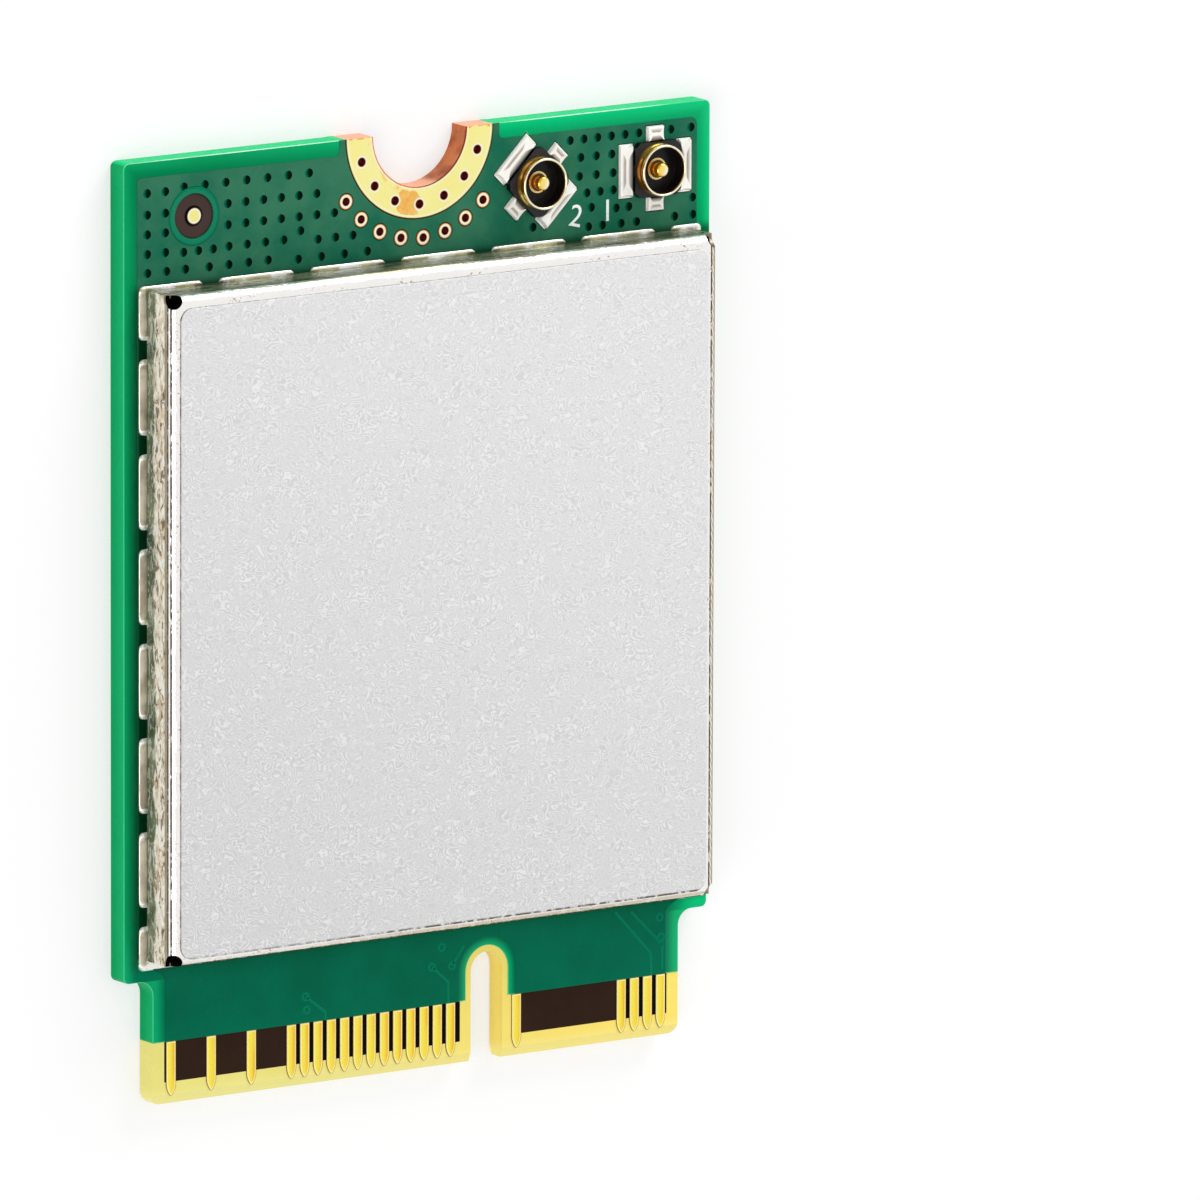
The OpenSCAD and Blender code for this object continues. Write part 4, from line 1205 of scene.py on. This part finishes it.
# %% The can's walls
def wall_color(f, facing, strokes):
    """Olive flux low down, then tin that ran and froze in strokes, with painted highlights on them."""
    edge_z = f.plus(1.2, f.times(f.minus(f.grain(1.1, 3), 0.5), 0.6))
    beige = f.between(f.minus(f.z, edge_z), -0.04, 0.08)
    olive = f.mix(f.between(f.grain(0.9, 4), 0.4, 0.6), paint(84, 98, 72), paint(124, 134, 104))
    pale = f.mix(f.between(f.grain(1.6, 4), 0.4, 0.6), paint(216, 192, 164), paint(255, 238, 220))
    pale = f.mix(f.between(strokes, 0.41, 0.46, 0.85, 0.0), pale, paint(104, 84, 62))
    wall = f.mix(beige, olive, pale)
    # Painted highlights: thin white lines and the crests of the strokes
    glint_lines = f.math("PINGPONG", f.times(f.grain(1.5, 2, 0.5, 1.0), 6), 0.5)
    glint_lines = f.larger(f.between(glint_lines, 0.02, 0.08, 0.6, 0.0), f.between(strokes, 0.53, 0.58))
    wall = f.mix(f.times(glint_lines, f.between(beige, 0.0, 1.0, 0.4, 0.9)), wall, paint(255, 253, 244))
    under_bend = f.between(f.z, BEND_START - 0.19, BEND_START - 0.13, 0.0, 0.85)
    wall = f.mix(under_bend, wall, paint(150, 134, 112))

    # The short wall at the notch end is painted dark grey-green: a painted reflection of the card in
    # it
    reflection_grain = f.grain(1.2, 4, where=f.vector("MULTIPLY", f.mm, (0.5, 1.0, 3.0)))
    reflected_card_wall = f.mix(f.between(reflection_grain, 0.4, 0.65), paint(74, 82, 62), paint(134, 138, 112))
    return f.mix(f.between(facing["Y"], 0.5, 0.8), wall, reflected_card_wall)


print("wall colours are ready")

# %% [markdown]
# Dark lines run where the sheet bends, one where each bend begins and another half way
# up. A lamp is mirrored along the whole of a bend and would hide any line there, so the
# lines are kept out of the metal: where one runs, the surface is plain dark paint. The
# right bend has a row of slanting dents, which a sine wave across its length paints as
# light and dark stripes, their painted shading.

# %% The can's bends
def bend_color(f, facing, wall, rise, bent):
    """Bright bends and top over the walls. Also gives where the dark lines run."""
    top = f.mix(f.grain(0.8, 5, 0.6), paint(250, 248, 243), paint(255, 254, 251))
    color = f.mix(bent, wall, top)
    broken = f.between(f.grain(4, 3, 0.7), 0.36, 0.46, 0.45, 1.0)
    dotted = f.between(f.grain(3, 3, 0.75), 0.4, 0.47, 0.35, 1.0)
    on_left = f.falling(facing["X"], -0.3, -0.1)
    lines = f.times(inside(f, rise, -0.02, 0.2, 0.05), broken)
    lines = f.larger(lines, f.times(inside(f, rise, 0.42, 0.62, 0.05), dotted))
    lines = f.times(lines, on_left)

    # Front side: beige dirt, more of it towards the right, and one broad broken line
    on_front = f.falling(facing["Y"], -0.2, -0.1)
    soiled = f.times(f.falling(rise, 0.9, 0.99), f.between(f.x, -8.0, 1.0, 0.1, 0.7))
    color = f.mix(f.times(soiled, f.times(on_front, broken)), color, paint(206, 188, 156))
    low_line = f.times(inside(f, rise, 0.2, 0.62, 0.06), broken)
    lines = f.larger(lines, f.times(low_line, on_front))

    # Right side: a dotted line, a row of slanting dents, then a dark edge
    off = f.minus(can_high[0], f.x)
    # Painted shading: the slanting dents are painted as light and dark stripes
    slant = f.math("SINE", f.times(f.plus(f.times(f.x, 3), f.y), 22))
    dent_shading = f.mix(f.between(slant, -0.6, 0.6), paint(196, 184, 156), paint(252, 246, 228))
    color = f.mix(f.times(f.falling(off, 0.22, 0.24), bent), color, dent_shading)
    right_lines = f.times(inside(f, off, 0.235, 0.29, 0.01), dotted)
    right_lines = f.larger(right_lines, f.between(off, 0.13, 0.15, 0.8, 0.0))
    lines = f.larger(lines, f.times(right_lines, bent))
    return f.mix(lines, color, paint(60, 48, 38)), lines


print("bend colours are ready")


# %% The can's whole finish
def can_finish():
    """Walls, bends and top, with brown specks at the notch end and painted black shade on the inner
    side.
    """
    f = Finish("tinned_sheet")
    facing = normal_parts(f)
    strokes = f.grain(3.0, 3, 0.6, 1.6, f.vector("MULTIPLY", f.mm, (1.0, 0.55, 1.5)))
    rise = f.math("DIVIDE", f.minus(f.z, BEND_START), BEND_R)
    bent = f.between(rise, 0.0, 0.06)
    color, lines = bend_color(f, facing, wall_color(f, facing, strokes), rise, bent)
    on_notch_end = f.between(facing["Y"], 0.1, 0.2)
    brown = f.times(inside(f, rise, -0.04, 0.14, 0.04), f.between(f.grain(1.6, 3), 0.36, 0.46))
    color = f.mix(f.times(f.times(brown, on_notch_end), 0.8), color, paint(150, 108, 60))
    specks = f.between(f.grain(9, 3, 0.7), 0.58, 0.64)
    specks = f.times(specks, f.between(f.grain(0.8, 2), 0.5, 0.6))
    color = f.mix(f.times(f.times(specks, 0.7), bent), color, paint(166, 108, 66))
    hidden = shaded_inside(f)
    # Painted shade: the inside seen through the relief holes is black
    color = f.mix(hidden, color, paint(6, 5, 4))

    rough = f.between(f.grain(0.8, 5, 0.6), 0.3, 0.7, 0.16, 0.28)
    bumps = f.relief(strokes, 0.03, f.relief(f.grain(2.6, 3), 0.006))
    material = f.close(color, rough, 0.8, bumps)

    # Walls hold little metal, so that they keep their colours. Lines and holes hold none.
    metal = f.between(f.math("ABSOLUTE", facing["Z"]), 0.06, 0.2, 0.1, 0.9)
    metal = f.larger(metal, f.between(facing["Y"], 0.5, 0.8, 0.0, 0.35))
    dull = f.larger(hidden, lines)
    f.join(f.shader.inputs["Metallic"], f.times(metal, f.falling(dull, 0.0, 1.0)))
    f.join(f.shader.inputs["Specular IOR Level"], f.between(dull, 0.0, 1.0, 0.4, 0.0))
    return material


wear("shield_can", can_finish())
print("can finished")

# %% [markdown]
# ## The blank label
#
# A pale grey film with a fine felted look: short curls lie nested in each other and run in
# every direction. Spots of noise would not look like that, but the contour lines of a cloud
# pattern do, and a sine of the cloud's height draws them. The film itself is a thin sheet
# with round corners. It is a little wavy, and follows the front bend of the can. That is why
# it is modelled on a fine grid and not as a flat plate.

# %% Model the film
label_low, label_high = box_mm("blank_label")
FILM_CORNER, FILM_LEFT_BY, FILM_SHORT_BY, FILM_OVER_BEND = 0.42, 0.04, 0.05, 0.12
FILM_SOFT, FILM_DROP, FILM_SINK = 0.03, 0.012, 0.003  # its soft edge, and how deep it lies
film_end = label_low[1] - FILM_OVER_BEND


def film():
    """A thin sheet with round corners and a soft edge, slightly wavy."""
    low, high, corner = label_low, label_high, FILM_CORNER
    mid = [(low[0] + high[0]) / 2 - FILM_LEFT_BY, (film_end + high[1] - FILM_SHORT_BY) / 2]
    half = [(high[0] - low[0]) / 2, (high[1] - FILM_SHORT_BY - film_end) / 2]
    bend_starts = can_low[1] + BEND_R
    count = 96

    def bound(u):
        """Half height of the outline at a distance u from the middle line."""
        inset = max(0.0, abs(u) - (half[0] - corner))
        return half[1] - corner + math.sqrt(max(0, corner**2 - inset**2))

    made = bmesh.new()
    places = [half[0] * math.sin(math.pi / 2 * (2 * i / count - 1)) for i in range(count + 1)]
    places = sorted({round(p, 5) for p in places + [half[0] - 0.01, 0.01 - half[0]]})
    shares = [math.sin(math.pi / 2 * (2 * j / count - 1)) for j in range(count + 1)]
    grid = []
    for x in places:
        column = []
        for s in shares:
            y = bound(x) * s
            gap = min(half[0] - abs(x), bound(x) - abs(y))
            drop = FILM_DROP * max(0.0, 1 - gap / FILM_SOFT) ** 2
            over = max(0.0, bend_starts - (mid[1] + y))
            drop += BEND_R - math.sqrt(BEND_R**2 - over**2)
            wave = 0.002 * noise.noise(Vector((x * 0.35, y * 0.35, 2.0)))
            z = high[2] - FILM_SINK - drop + wave
            column.append(made.verts.new((mid[0] + x, mid[1] + y, z)))
        grid.append(column)
    for a, b in zip(grid, grid[1:]):
        for j in range(len(shares) - 1):
            made.faces.new((a[j], b[j], b[j + 1], a[j + 1]))
    rim = [e for e in made.edges if e.is_boundary]
    skirt = bmesh.ops.extrude_edge_only(made, edges=rim)["geom"]
    for v in [g for g in skirt if isinstance(g, bmesh.types.BMVert)]:
        v.co.z = low[2]
    for face in [g for g in skirt if isinstance(g, bmesh.types.BMFace)]:
        face.material_index = 1
    bmesh.ops.contextual_create(made, geom=[e for e in made.edges if e.is_boundary])
    bmesh.ops.remove_doubles(made, verts=made.verts, dist=0.0005)
    bmesh.ops.recalc_face_normals(made, faces=made.faces)
    return made


print("the film ends", round(film_end - can_low[1], 3), "mm behind the can's front")

# %% The film's finish
CLOUDS_PER_MM, CONTOURS = 3.3, 56.0


def film_finish():
    """Nested curls, painted light beside dark as the shading of fine ridges, and a painted light that
    grows lighter to the upper right.
    """
    f = Finish("label_film")
    stretched = f.vector("MULTIPLY", f.mm, (0.72, 1.0, 1.0))
    field = f.grain(CLOUDS_PER_MM, 1, 0.35, 0.3, stretched)
    curls = f.math("SINE", f.times(field, CONTOURS))
    # Painted shading of the curls: a light line with a dark shade beside it
    light = f.between(curls, 0.2, 1.0)
    dark = f.falling(curls, -1.0, -0.1)
    elsewhere = f.vector("ADD", f.mm, (9, 4, 0))
    patches = f.between(f.grain(1.6, 3, where=elsewhere), 0.35, 0.65, 0.35, 1.0)
    # Painted light: lighter towards the upper right
    light_falloff = f.plus(f.times(f.x, 0.28), f.times(f.y, 0.42))
    base = f.mix(f.between(light_falloff, -8.5, 8.5), paint(206, 205, 205), paint(225, 224, 224))
    color = f.mix(f.times(f.times(dark, patches), 0.28), base, paint(178, 176, 178))
    color = f.mix(f.times(f.times(light, patches), 0.42), color, paint(250, 249, 249))
    fine = f.grain(9, 2)
    color = f.mix(f.between(fine, 0.6, 0.75, 0.0, 0.3), color, paint(194, 192, 193))

    # A broken dark line is painted along the front edge as the shade of the film's edge, stronger
    # towards the right
    front = f.falling(f.y, film_end + 0.04, film_end + 0.09)
    front_edge_shade = f.times(front, f.between(f.grain(3.4, 3, 0.7), 0.4, 0.54, 0.0, 0.95))
    front_edge_shade = f.times(front_edge_shade, f.between(f.x, -9.0, 0.0, 0.45, 1.0))
    color = f.mix(front_edge_shade, color, paint(74, 62, 50))
    normal = f.relief(f.minus(light, dark), 0.0015)
    return f.close(color, f.between(fine, 0.3, 0.7, 0.42, 0.55), 0.1, normal)


def film_edge_finish():
    """The cut edge, painted dark as the shade of the film's edge."""
    f = Finish("film_edge")
    color = f.mix(f.between(f.grain(3, 3, 0.7), 0.4, 0.6), paint(70, 60, 52), paint(160, 152, 146))
    return f.close(color, 0.6, normal=f.relief(f.grain(20, 2), 0.003))


label = piece("felted_film", film(), [film_finish(), film_edge_finish()], 50)
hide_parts("blank_label")
print("film faces:", len(label.data.polygons))

# %% [markdown]
# ## Antenna sockets
#
# A socket's ring is rolled from sheet: it has a round lip, a shallow groove that the plug
# snaps into, and an inside that lies in shade and is painted dark. The pin has a domed tip
# and stands in a small dish. Turned shapes like these come from a lathe, so each profile is
# given once and turned around the socket's middle.

# %% Profiles of the ring and the pin
RING_R, RING_WALL = 0.825, 0.08
FLOOR_Z, RING_TOP = 0.92, 1.40
GROOVE_Z, GROOVE_DEPTH = (1.12, 1.16, 1.21, 1.25), 0.018
PIN_R, PIN_DOME, COLLAR_R = 0.225, 0.11, 0.32
SOCKETS = {"main": ((8.88, 13.0), 0.0), "aux": ((4.37, 13.0), -45.0)}


def ring_profile():
    """Outer wall with its groove, the rolled lip and the inner wall, from the floor up."""
    points = [(RING_R, FLOOR_Z), (RING_R, GROOVE_Z[0])]
    points += [(RING_R - GROOVE_DEPTH, GROOVE_Z[1]), (RING_R - GROOVE_DEPTH, GROOVE_Z[2])]
    points += [(RING_R, GROOVE_Z[3])]
    lip_mid, lip_r = RING_R - RING_WALL / 2, RING_WALL / 2
    for k in range(9):
        a = math.pi * k / 8
        points.append((lip_mid + lip_r * math.cos(a), RING_TOP - lip_r + lip_r * math.sin(a)))
    points += [(RING_R - RING_WALL, 1.2), (RING_R - RING_WALL, FLOOR_Z)]
    return points


def pin_profile(tip_z):
    """The pin with its domed tip, standing in a dish that the collar's lip closes."""
    steps = [(COLLAR_R, -0.01), (COLLAR_R, 0.03), (COLLAR_R - 0.01, 0.045)]
    steps += [(COLLAR_R - 0.03, 0.045), (COLLAR_R - 0.045, 0.006)]
    steps += [(PIN_R + 0.01, 0.004), (PIN_R, 0.02)]
    points = [(r, FLOOR_Z + z) for r, z in steps]
    axis = 0.0005  # almost on the axis, so that the faces there keep four corners
    for k in range(11):
        a = math.pi / 2 * k / 10
        points.append((max(axis, PIN_R * math.cos(a)), tip_z - PIN_DOME + PIN_DOME * math.sin(a)))
    return [*points, (axis, FLOOR_Z - 0.01)]


print("profiles have", len(ring_profile()), "and", len(pin_profile(1.35)), "points")

# %% [markdown]
# Four feet hold a socket. Each carries solder that is hollow across the foot and rounded
# along its edges, so it is a height field over a grid. The grid's own two directions are
# kept as its UV map, and with them the painted reflection can follow the hollow on every
# foot, whichever way that foot points.

# %% Model the soldered feet
FOOT_BASE, FOOT_BOTTOM, LAND_MARGIN = 0.805, 0.79, 0.04


def add_foot(made, size, way):
    """A soldered foot that reaches away from the body. size is its reach, width and start."""
    across_steps, along_steps = 20, 24
    places, grid = {}, []
    for i in range(across_steps + 1):
        u = i / across_steps
        row = []
        for j in range(along_steps + 1):
            v = 2 * j / along_steps - 1
            to_edge = min(min(u, 1 - u) * size[0], (1 - abs(v)) * size[1] / 2)
            soft = math.sqrt(max(0.0, 1 - (1 - min(1.0, to_edge / 0.06)) ** 2))
            hollow = math.exp(-(((u - 0.6) / 0.22) ** 2)) * (1 - v * v)
            rise = 0.125 - 0.025 * hollow + 0.06 * max(0.0, 1 - u / 0.3) ** 2
            waist = 1 - 0.06 * math.sin(math.pi * u)
            out, side = way * (size[2] + u * size[0]), v * size[1] / 2 * waist
            vert = made.verts.new((out, side, FOOT_BASE + rise * soft))
            places[vert] = (u, (v + 1) / 2)
            row.append(vert)
        grid.append(row)
    layer = made.loops.layers.uv.verify()
    for a, b in zip(grid, grid[1:]):
        for j in range(along_steps):
            face = made.faces.new((a[j], b[j], b[j + 1], a[j + 1]))
            for loop in face.loops:
                loop[layer].uv = places[loop.vert]
    rim = [e for e in made.edges if e.is_boundary]
    skirt = bmesh.ops.extrude_edge_only(made, edges=rim)["geom"]
    low = [g for g in skirt if isinstance(g, bmesh.types.BMVert)]
    for v in low:
        v.co.z = FOOT_BOTTOM
    bmesh.ops.contextual_create(made, geom=[e for e in made.edges if e.is_boundary])


def moved(made, place):
    """Turns a bmesh about its own middle and puts it at a socket."""
    (x, y), angle = place
    swing = Matrix.Rotation(math.radians(angle), 3, "Z")
    bmesh.ops.rotate(made, verts=made.verts, cent=(0, 0, 0), matrix=swing)
    bmesh.ops.translate(made, verts=made.verts, vec=(x, y, 0))
    bmesh.ops.recalc_face_normals(made, faces=made.faces)
    return made


def socket_feet():
    """The four soldered feet of a socket around its own middle."""
    low, high = box_mm("main_socket_shell")
    body_low, body_high = box_mm("main_socket_body")
    reach = (high[0] - low[0]) / 2 + LAND_MARGIN
    body = (body_high[0] - body_low[0]) / 2
    made = bmesh.new()
    for width, offset in ((1.64, 0), (0.56, math.pi / 2)):
        for way in (-1, 1):
            one = bmesh.new()
            add_foot(one, (reach - body, width + 2 * LAND_MARGIN, body), way)
            swing = Matrix.Rotation(offset, 3, "Z")
            bmesh.ops.rotate(one, verts=one.verts, cent=(0, 0, 0), matrix=swing)
            mesh = bpy.data.meshes.new("foot")
            one.to_mesh(mesh)
            one.free()
            made.from_mesh(mesh)
            bpy.data.meshes.remove(mesh)
    return made


print("sockets stand at", [place[0] for place in SOCKETS.values()])


# %% Finishes of plastic and soldered feet
def socket_distance(f):
    """Distance to the nearer socket's middle."""
    return f.smaller(*[distance_from(f, place[0]) for place in SOCKETS.values()])


def moulded_finish(name, dark, light, rough, depth=0.004):
    """Something pressed or moulded from powder, with a fine grain."""
    f = Finish(name)
    color = f.mix(f.grain(2.4, 4), dark, light)
    surface = f.between(f.grain(7, 3), 0.3, 0.7, *rough)
    return f.close(color, surface, normal=f.relief(f.grain(18, 3), depth), Specular_IOR_Level=0.3)


def socket_body_finish():
    """Black plastic, its sides painted deeper black as shade, and the floor inside the ring painted
    near black as shade, with dark grey patches.
    """
    f = Finish("socket_plastic")
    off = socket_distance(f)
    color = f.mix(f.grain(2.4, 4), paint(30, 30, 32), paint(48, 48, 52))
    # Painted shade on the body's sides
    side = f.falling(facing_up(f), 0.4, 0.6)
    color = f.mix(side, color, paint(8, 7, 7))
    # Painted shade on the floor inside the ring
    floor = f.mix(f.between(f.grain(0.9, 2), 0.4, 0.6), paint(6, 5, 4), paint(26, 21, 17))
    color = f.mix(f.falling(off, RING_R - 0.06, RING_R - 0.02), color, floor)
    surface = f.wander(7, 3, 0.24, 0.36)
    return f.close(color, surface, normal=f.relief(f.grain(8, 2), 0.002), Specular_IOR_Level=0.2)


def foot_finish():
    """Painted reflection: hollow solder is painted white along its middle and dark on both sides of
    it, as a mirror would show.
    """
    f = Finish("foot_solder")
    place = f.add("ShaderNodeSeparateXYZ", Vector=f.add("ShaderNodeTexCoord").outputs["UV"]).outputs
    out, along = place["X"], place["Y"]
    to_end = f.times(f.math("ABSOLUTE", f.minus(along, 0.5)), 2.0)
    flare = f.between(to_end, 0.4, 1.0, 0.0, 0.42)
    from_ridge = f.minus(f.math("ABSOLUTE", f.minus(out, 0.47)), flare)
    outer = f.mix(f.between(out, 0.6, 0.92), paint(168, 160, 150), paint(254, 252, 248))
    inner = f.mix(f.between(out, 0.05, 0.4), paint(28, 24, 20), paint(204, 199, 190))
    shade = f.mix(f.between(out, 0.46, 0.48), inner, outer)
    white = f.mix(f.grain(1.5, 3), paint(255, 254, 250), paint(246, 243, 235))
    color = f.mix(f.between(from_ridge, 0.06, 0.15), white, shade)
    color = f.mix(f.between(out, 0.9, 0.96), color, white)
    rough = f.wander(3.5, 3, 0.16, 0.26)
    return f.close(color, rough, 0.12, f.relief(f.grain(2, 1), 0.002))


print("plastic and solder are ready")


# %% Finishes of ring and pin
def ring_finish():
    """Gold with painted streaks of reflection, a near-white painted highlight on the lip, and the
    inside painted black as shade.
    """
    f = Finish("ring_gold")
    level = facing_up(f)
    # Painted reflection: upright streaks of light and dark gold
    reflection_streaks = f.grain(1.1, 2, where=f.vector("MULTIPLY", f.mm, (1.0, 1.0, 0.3)))
    gold = f.mix(f.between(reflection_streaks, 0.42, 0.58), paint(172, 108, 24), paint(255, 214, 100))
    # Painted highlight on faces that look up, along the lip
    gold = f.mix(f.between(level, 0.45, 0.75), gold, paint(255, 247, 214))
    lip_mid = RING_R - RING_WALL / 2
    inside_ring = f.falling(socket_distance(f), lip_mid - 0.012, lip_mid + 0.004)
    # Painted shade: the inside of the ring is black
    ring_inside_shade = f.times(inside_ring, f.falling(f.z, RING_TOP - 0.07, RING_TOP - 0.03))
    color = f.mix(ring_inside_shade, gold, paint(16, 12, 8))
    rough = f.wander(1, 2, 0.16, 0.22)
    material = f.close(color, rough, 0.8, f.relief(f.grain(1.2, 1), 0.0005))
    f.join(f.shader.inputs["Metallic"], f.between(ring_inside_shade, 0.0, 1.0, 0.8, 0.0))
    return material


def pin_finish():
    """Painted light: a hot highlight and glint on the tip, the barrel bright on its left and brown on
    its right, and painted shade in the dish inside the collar's bright lip.
    """
    f = Finish("pin_gold")
    facing = normal_parts(f)
    # Painted shading: the barrel is lit on its left and brown on its right
    barrel = f.mix(f.between(facing["X"], -0.6, 0.6), paint(255, 162, 40), paint(136, 66, 10))
    # Painted highlight on faces that look up, strongest on the tip
    gold = f.mix(f.between(facing["Z"], 0.25, 0.7), barrel, paint(255, 206, 80))
    gold = f.mix(f.between(facing["Z"], 0.8, 0.95, 0.0, 0.6), gold, paint(255, 234, 150))
    glint = f.minus(facing["X"], f.times(facing["Y"], 0.3))
    glint = f.times(f.between(glint, -0.1, 0.3), f.between(facing["Z"], 0.7, 0.9))
    gold = f.mix(glint, gold, paint(255, 252, 226))
    off = socket_distance(f)
    low = f.falling(f.z, FLOOR_Z + 0.028, FLOOR_Z + 0.04)
    # Painted shade in the dish around the pin
    dish = f.times(f.falling(off, COLLAR_R - 0.035, COLLAR_R - 0.025), low)
    color = f.mix(dish, gold, f.mix(f.grain(2, 2), paint(40, 14, 2), paint(84, 38, 8)))
    material = f.close(color, 0.16, 0.7, f.relief(f.grain(1.5, 1), 0.0005))
    f.join(f.shader.inputs["Metallic"], f.between(dish, 0.0, 1.0, 0.7, 0.0))
    f.join(f.shader.inputs["Specular IOR Level"], f.between(dish, 0.0, 1.0, 0.4, 0.1))
    return material


print("ring and pin finishes are ready")

# %% Put the sockets together
socket_plastic, foot_solder = socket_body_finish(), foot_finish()
ring_gold, pin_gold = ring_finish(), pin_finish()
pin_top = box_mm("main_socket_pin")[1][2]
for key, place in SOCKETS.items():
    ring = bmesh.new()
    add_lathe(ring, (0, 0), ring_profile(), 72)
    shell = piece(key + "_ring", moved(ring, place), [ring_gold], 40)
    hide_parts(key + "_socket_shell")
    pin = bmesh.new()
    add_lathe(pin, (0, 0), pin_profile(pin_top), 40)
    piece(key + "_pin_tip", moved(pin, place), [pin_gold], 40)
    piece(key + "_foot_solder", moved(socket_feet(), place), [foot_solder], 50)
    wear(key + "_socket_body", socket_plastic)
    wear(key + "_socket_pin", pin_gold)
    print(key, "socket at", place[0])

# %% [markdown]
# ## White ink
#
# The printed layer numbers the two sockets. Screen ink is thick enough to stand up a
# little, so the numbers are extruded text and not a picture.

# %% Print the numbers
INK_UP, INK_THICK = 0.003, 0.004


def ink_finish():
    """White with worn, slightly green spots."""
    f = Finish("white_ink")
    color = f.mix(f.between(f.grain(9, 3), 0.5, 0.8), paint(244, 248, 246), paint(200, 226, 216))
    return f.close(color, 0.55, normal=f.relief(f.grain(16, 3), 0.004))


ink = ink_finish()


def printed(name, text, at, height, turn_deg):
    """Extruded text turned into a mesh, standing on the copper area."""
    words = bpy.data.curves.new(name, "FONT")
    words.body = text
    words.size = height * MM
    words.extrude = INK_THICK * MM
    words.align_x = words.align_y = "CENTER"
    words.resolution_u = 6
    draft = bpy.data.objects.new(name + "_draft", words)
    bpy.context.scene.collection.objects.link(draft)
    place = Matrix.Translation((at[0] * MM, at[1] * MM, (area_top + INK_UP) * MM))
    draft.matrix_world = place @ Matrix.Rotation(math.radians(turn_deg), 4, "Z")
    bpy.context.view_layer.update()
    made = applied(draft)
    made.transform(draft.matrix_world)
    bpy.data.objects.remove(draft)
    bmesh.ops.scale(made, verts=made.verts, vec=(1000, 1000, 1000))
    return piece(name, made, [ink])


printed("number_two", "2", (5.9, 11.72), 1.0, -14)
printed("number_one", "1", (7.1, 11.78), 1.0, 0)
print("numbers printed, with ink", INK_THICK, "mm thick")

# %% [markdown]
# ## Parts under the can
#
# Nothing of these shows while the can is closed, but they are on the card, so each gets
# the finish of its kind.

# %% Finish the hidden parts
chip_black = moulded_finish("chip_mould", paint(28, 28, 30), paint(44, 44, 46), (0.5, 0.66), 0.006)
ferrite = moulded_finish("pressed_ferrite", paint(62, 62, 64), paint(86, 86, 88), (0.55, 0.7), 0.008)
ceramic = moulded_finish("fired_ceramic", paint(206, 200, 180), paint(226, 222, 206), (0.4, 0.55))
capacitor_tan = moulded_finish("capacitor_tan", paint(168, 138, 98), paint(200, 172, 130), (0.35, 0.5))
for node, material in {
    "radio_chip": chip_black,
    "front_end_chips": chip_black,
    "memory_chip": chip_black,
    "power_chip": chip_black,
    "resistors": chip_black,
    "power_coils": ferrite,
    "diplexers": ceramic,
    "crystal": ceramic,
    "capacitors": capacitor_tan,
}.items():
    wear(node, material)
print("hidden parts finished")

# %% [markdown]
# ## Floor and light
#
# The card lies on a white table. The table's own colour and a share of plain white for
# the camera and for mirrors make a white ground that still takes a soft shadow. Large
# lamps stand close, as softboxes do, and the sky is bright above and darker towards the
# horizon, so that metal has something to mirror.

# %% The table
HALF_TABLE, WHITE_SHARE = 3.0, 0.55


def table_finish():
    """White paint, with a share of plain white wherever the camera or a mirror sees it."""
    f = Finish("white_table")
    tree = f.tree
    color = f.mix(f.grain(0.02, 2), paint(248, 248, 248), paint(252, 252, 252))
    diffuse = f.add("ShaderNodeBsdfDiffuse", Color=color)
    glow = f.add("ShaderNodeEmission", Color=(1, 1, 1, 1), Strength=1.0)
    path = f.add("ShaderNodeLightPath").outputs
    seen = f.larger(path["Is Glossy Ray"], path["Is Transmission Ray"])
    seen = f.larger(path["Is Camera Ray"], seen)
    blend = f.add("ShaderNodeMixShader", Fac=f.times(seen, WHITE_SHARE))
    tree.links.new(diffuse.outputs[0], blend.inputs[1])
    tree.links.new(glow.outputs[0], blend.inputs[2])
    out = tree.nodes.new("ShaderNodeOutputMaterial")
    tree.links.new(blend.outputs[0], out.inputs["Surface"])
    return f.material


table_mesh = bpy.data.meshes.new("table")
corners = [(x * HALF_TABLE, y * HALF_TABLE, 0) for x, y in ((-1, -1), (1, -1), (1, 1), (-1, 1))]
table_mesh.from_pydata(corners, [], [(0, 1, 2, 3)])
table_mesh.materials.append(table_finish())
table = bpy.data.objects.new("table", table_mesh)
bpy.context.scene.collection.objects.link(table)
print("table laid")


# %% Softboxes and sky
def softbox(name, direction, distance, size, watts):
    """A square lamp that faces the card."""
    lamp = bpy.data.lights.new(name, "AREA")
    lamp.size = size
    lamp.energy = watts
    obj = bpy.data.objects.new(name, lamp)
    away = Vector(direction).normalized()
    obj.location = away * distance
    obj.rotation_mode = "QUATERNION"
    obj.rotation_quaternion = away.to_track_quat("Z", "Y")
    bpy.context.scene.collection.objects.link(obj)


softbox("rear_light", (0.5, 0.81, 0.3), 0.4, 0.22, 0.9)
softbox("left_light", (-0.81, -0.19, 0.55), 0.4, 0.28, 0.7)

BRIGHT_SKY = Vector((0.55, -0.19, 0.81))
world = bpy.data.worlds.new("sky")
bpy.context.scene.world = world
world.use_nodes = True
sky = world.node_tree
sky.nodes.clear()
ray = sky.nodes.new("ShaderNodeTexCoord")
towards = sky.nodes.new("ShaderNodeVectorMath")
towards.operation = "DOT_PRODUCT"
towards.inputs[1].default_value = BRIGHT_SKY
ramp = sky.nodes.new("ShaderNodeMapRange")
ramp.interpolation_type = "SMOOTHSTEP"
for key, value in {"From Min": -0.2, "From Max": 0.85, "To Min": 0.38, "To Max": 1.1}.items():
    ramp.inputs[key].default_value = value
glow = sky.nodes.new("ShaderNodeBackground")
sky_out = sky.nodes.new("ShaderNodeOutputWorld")
sky.links.new(ray.outputs["Generated"], towards.inputs[0])
sky.links.new(towards.outputs["Value"], ramp.inputs["Value"])
sky.links.new(ramp.outputs["Result"], glow.inputs["Strength"])
sky.links.new(glow.outputs[0], sky_out.inputs["Surface"])
bpy.context.scene.view_settings.view_transform = "Standard"
print("lamps are lit")
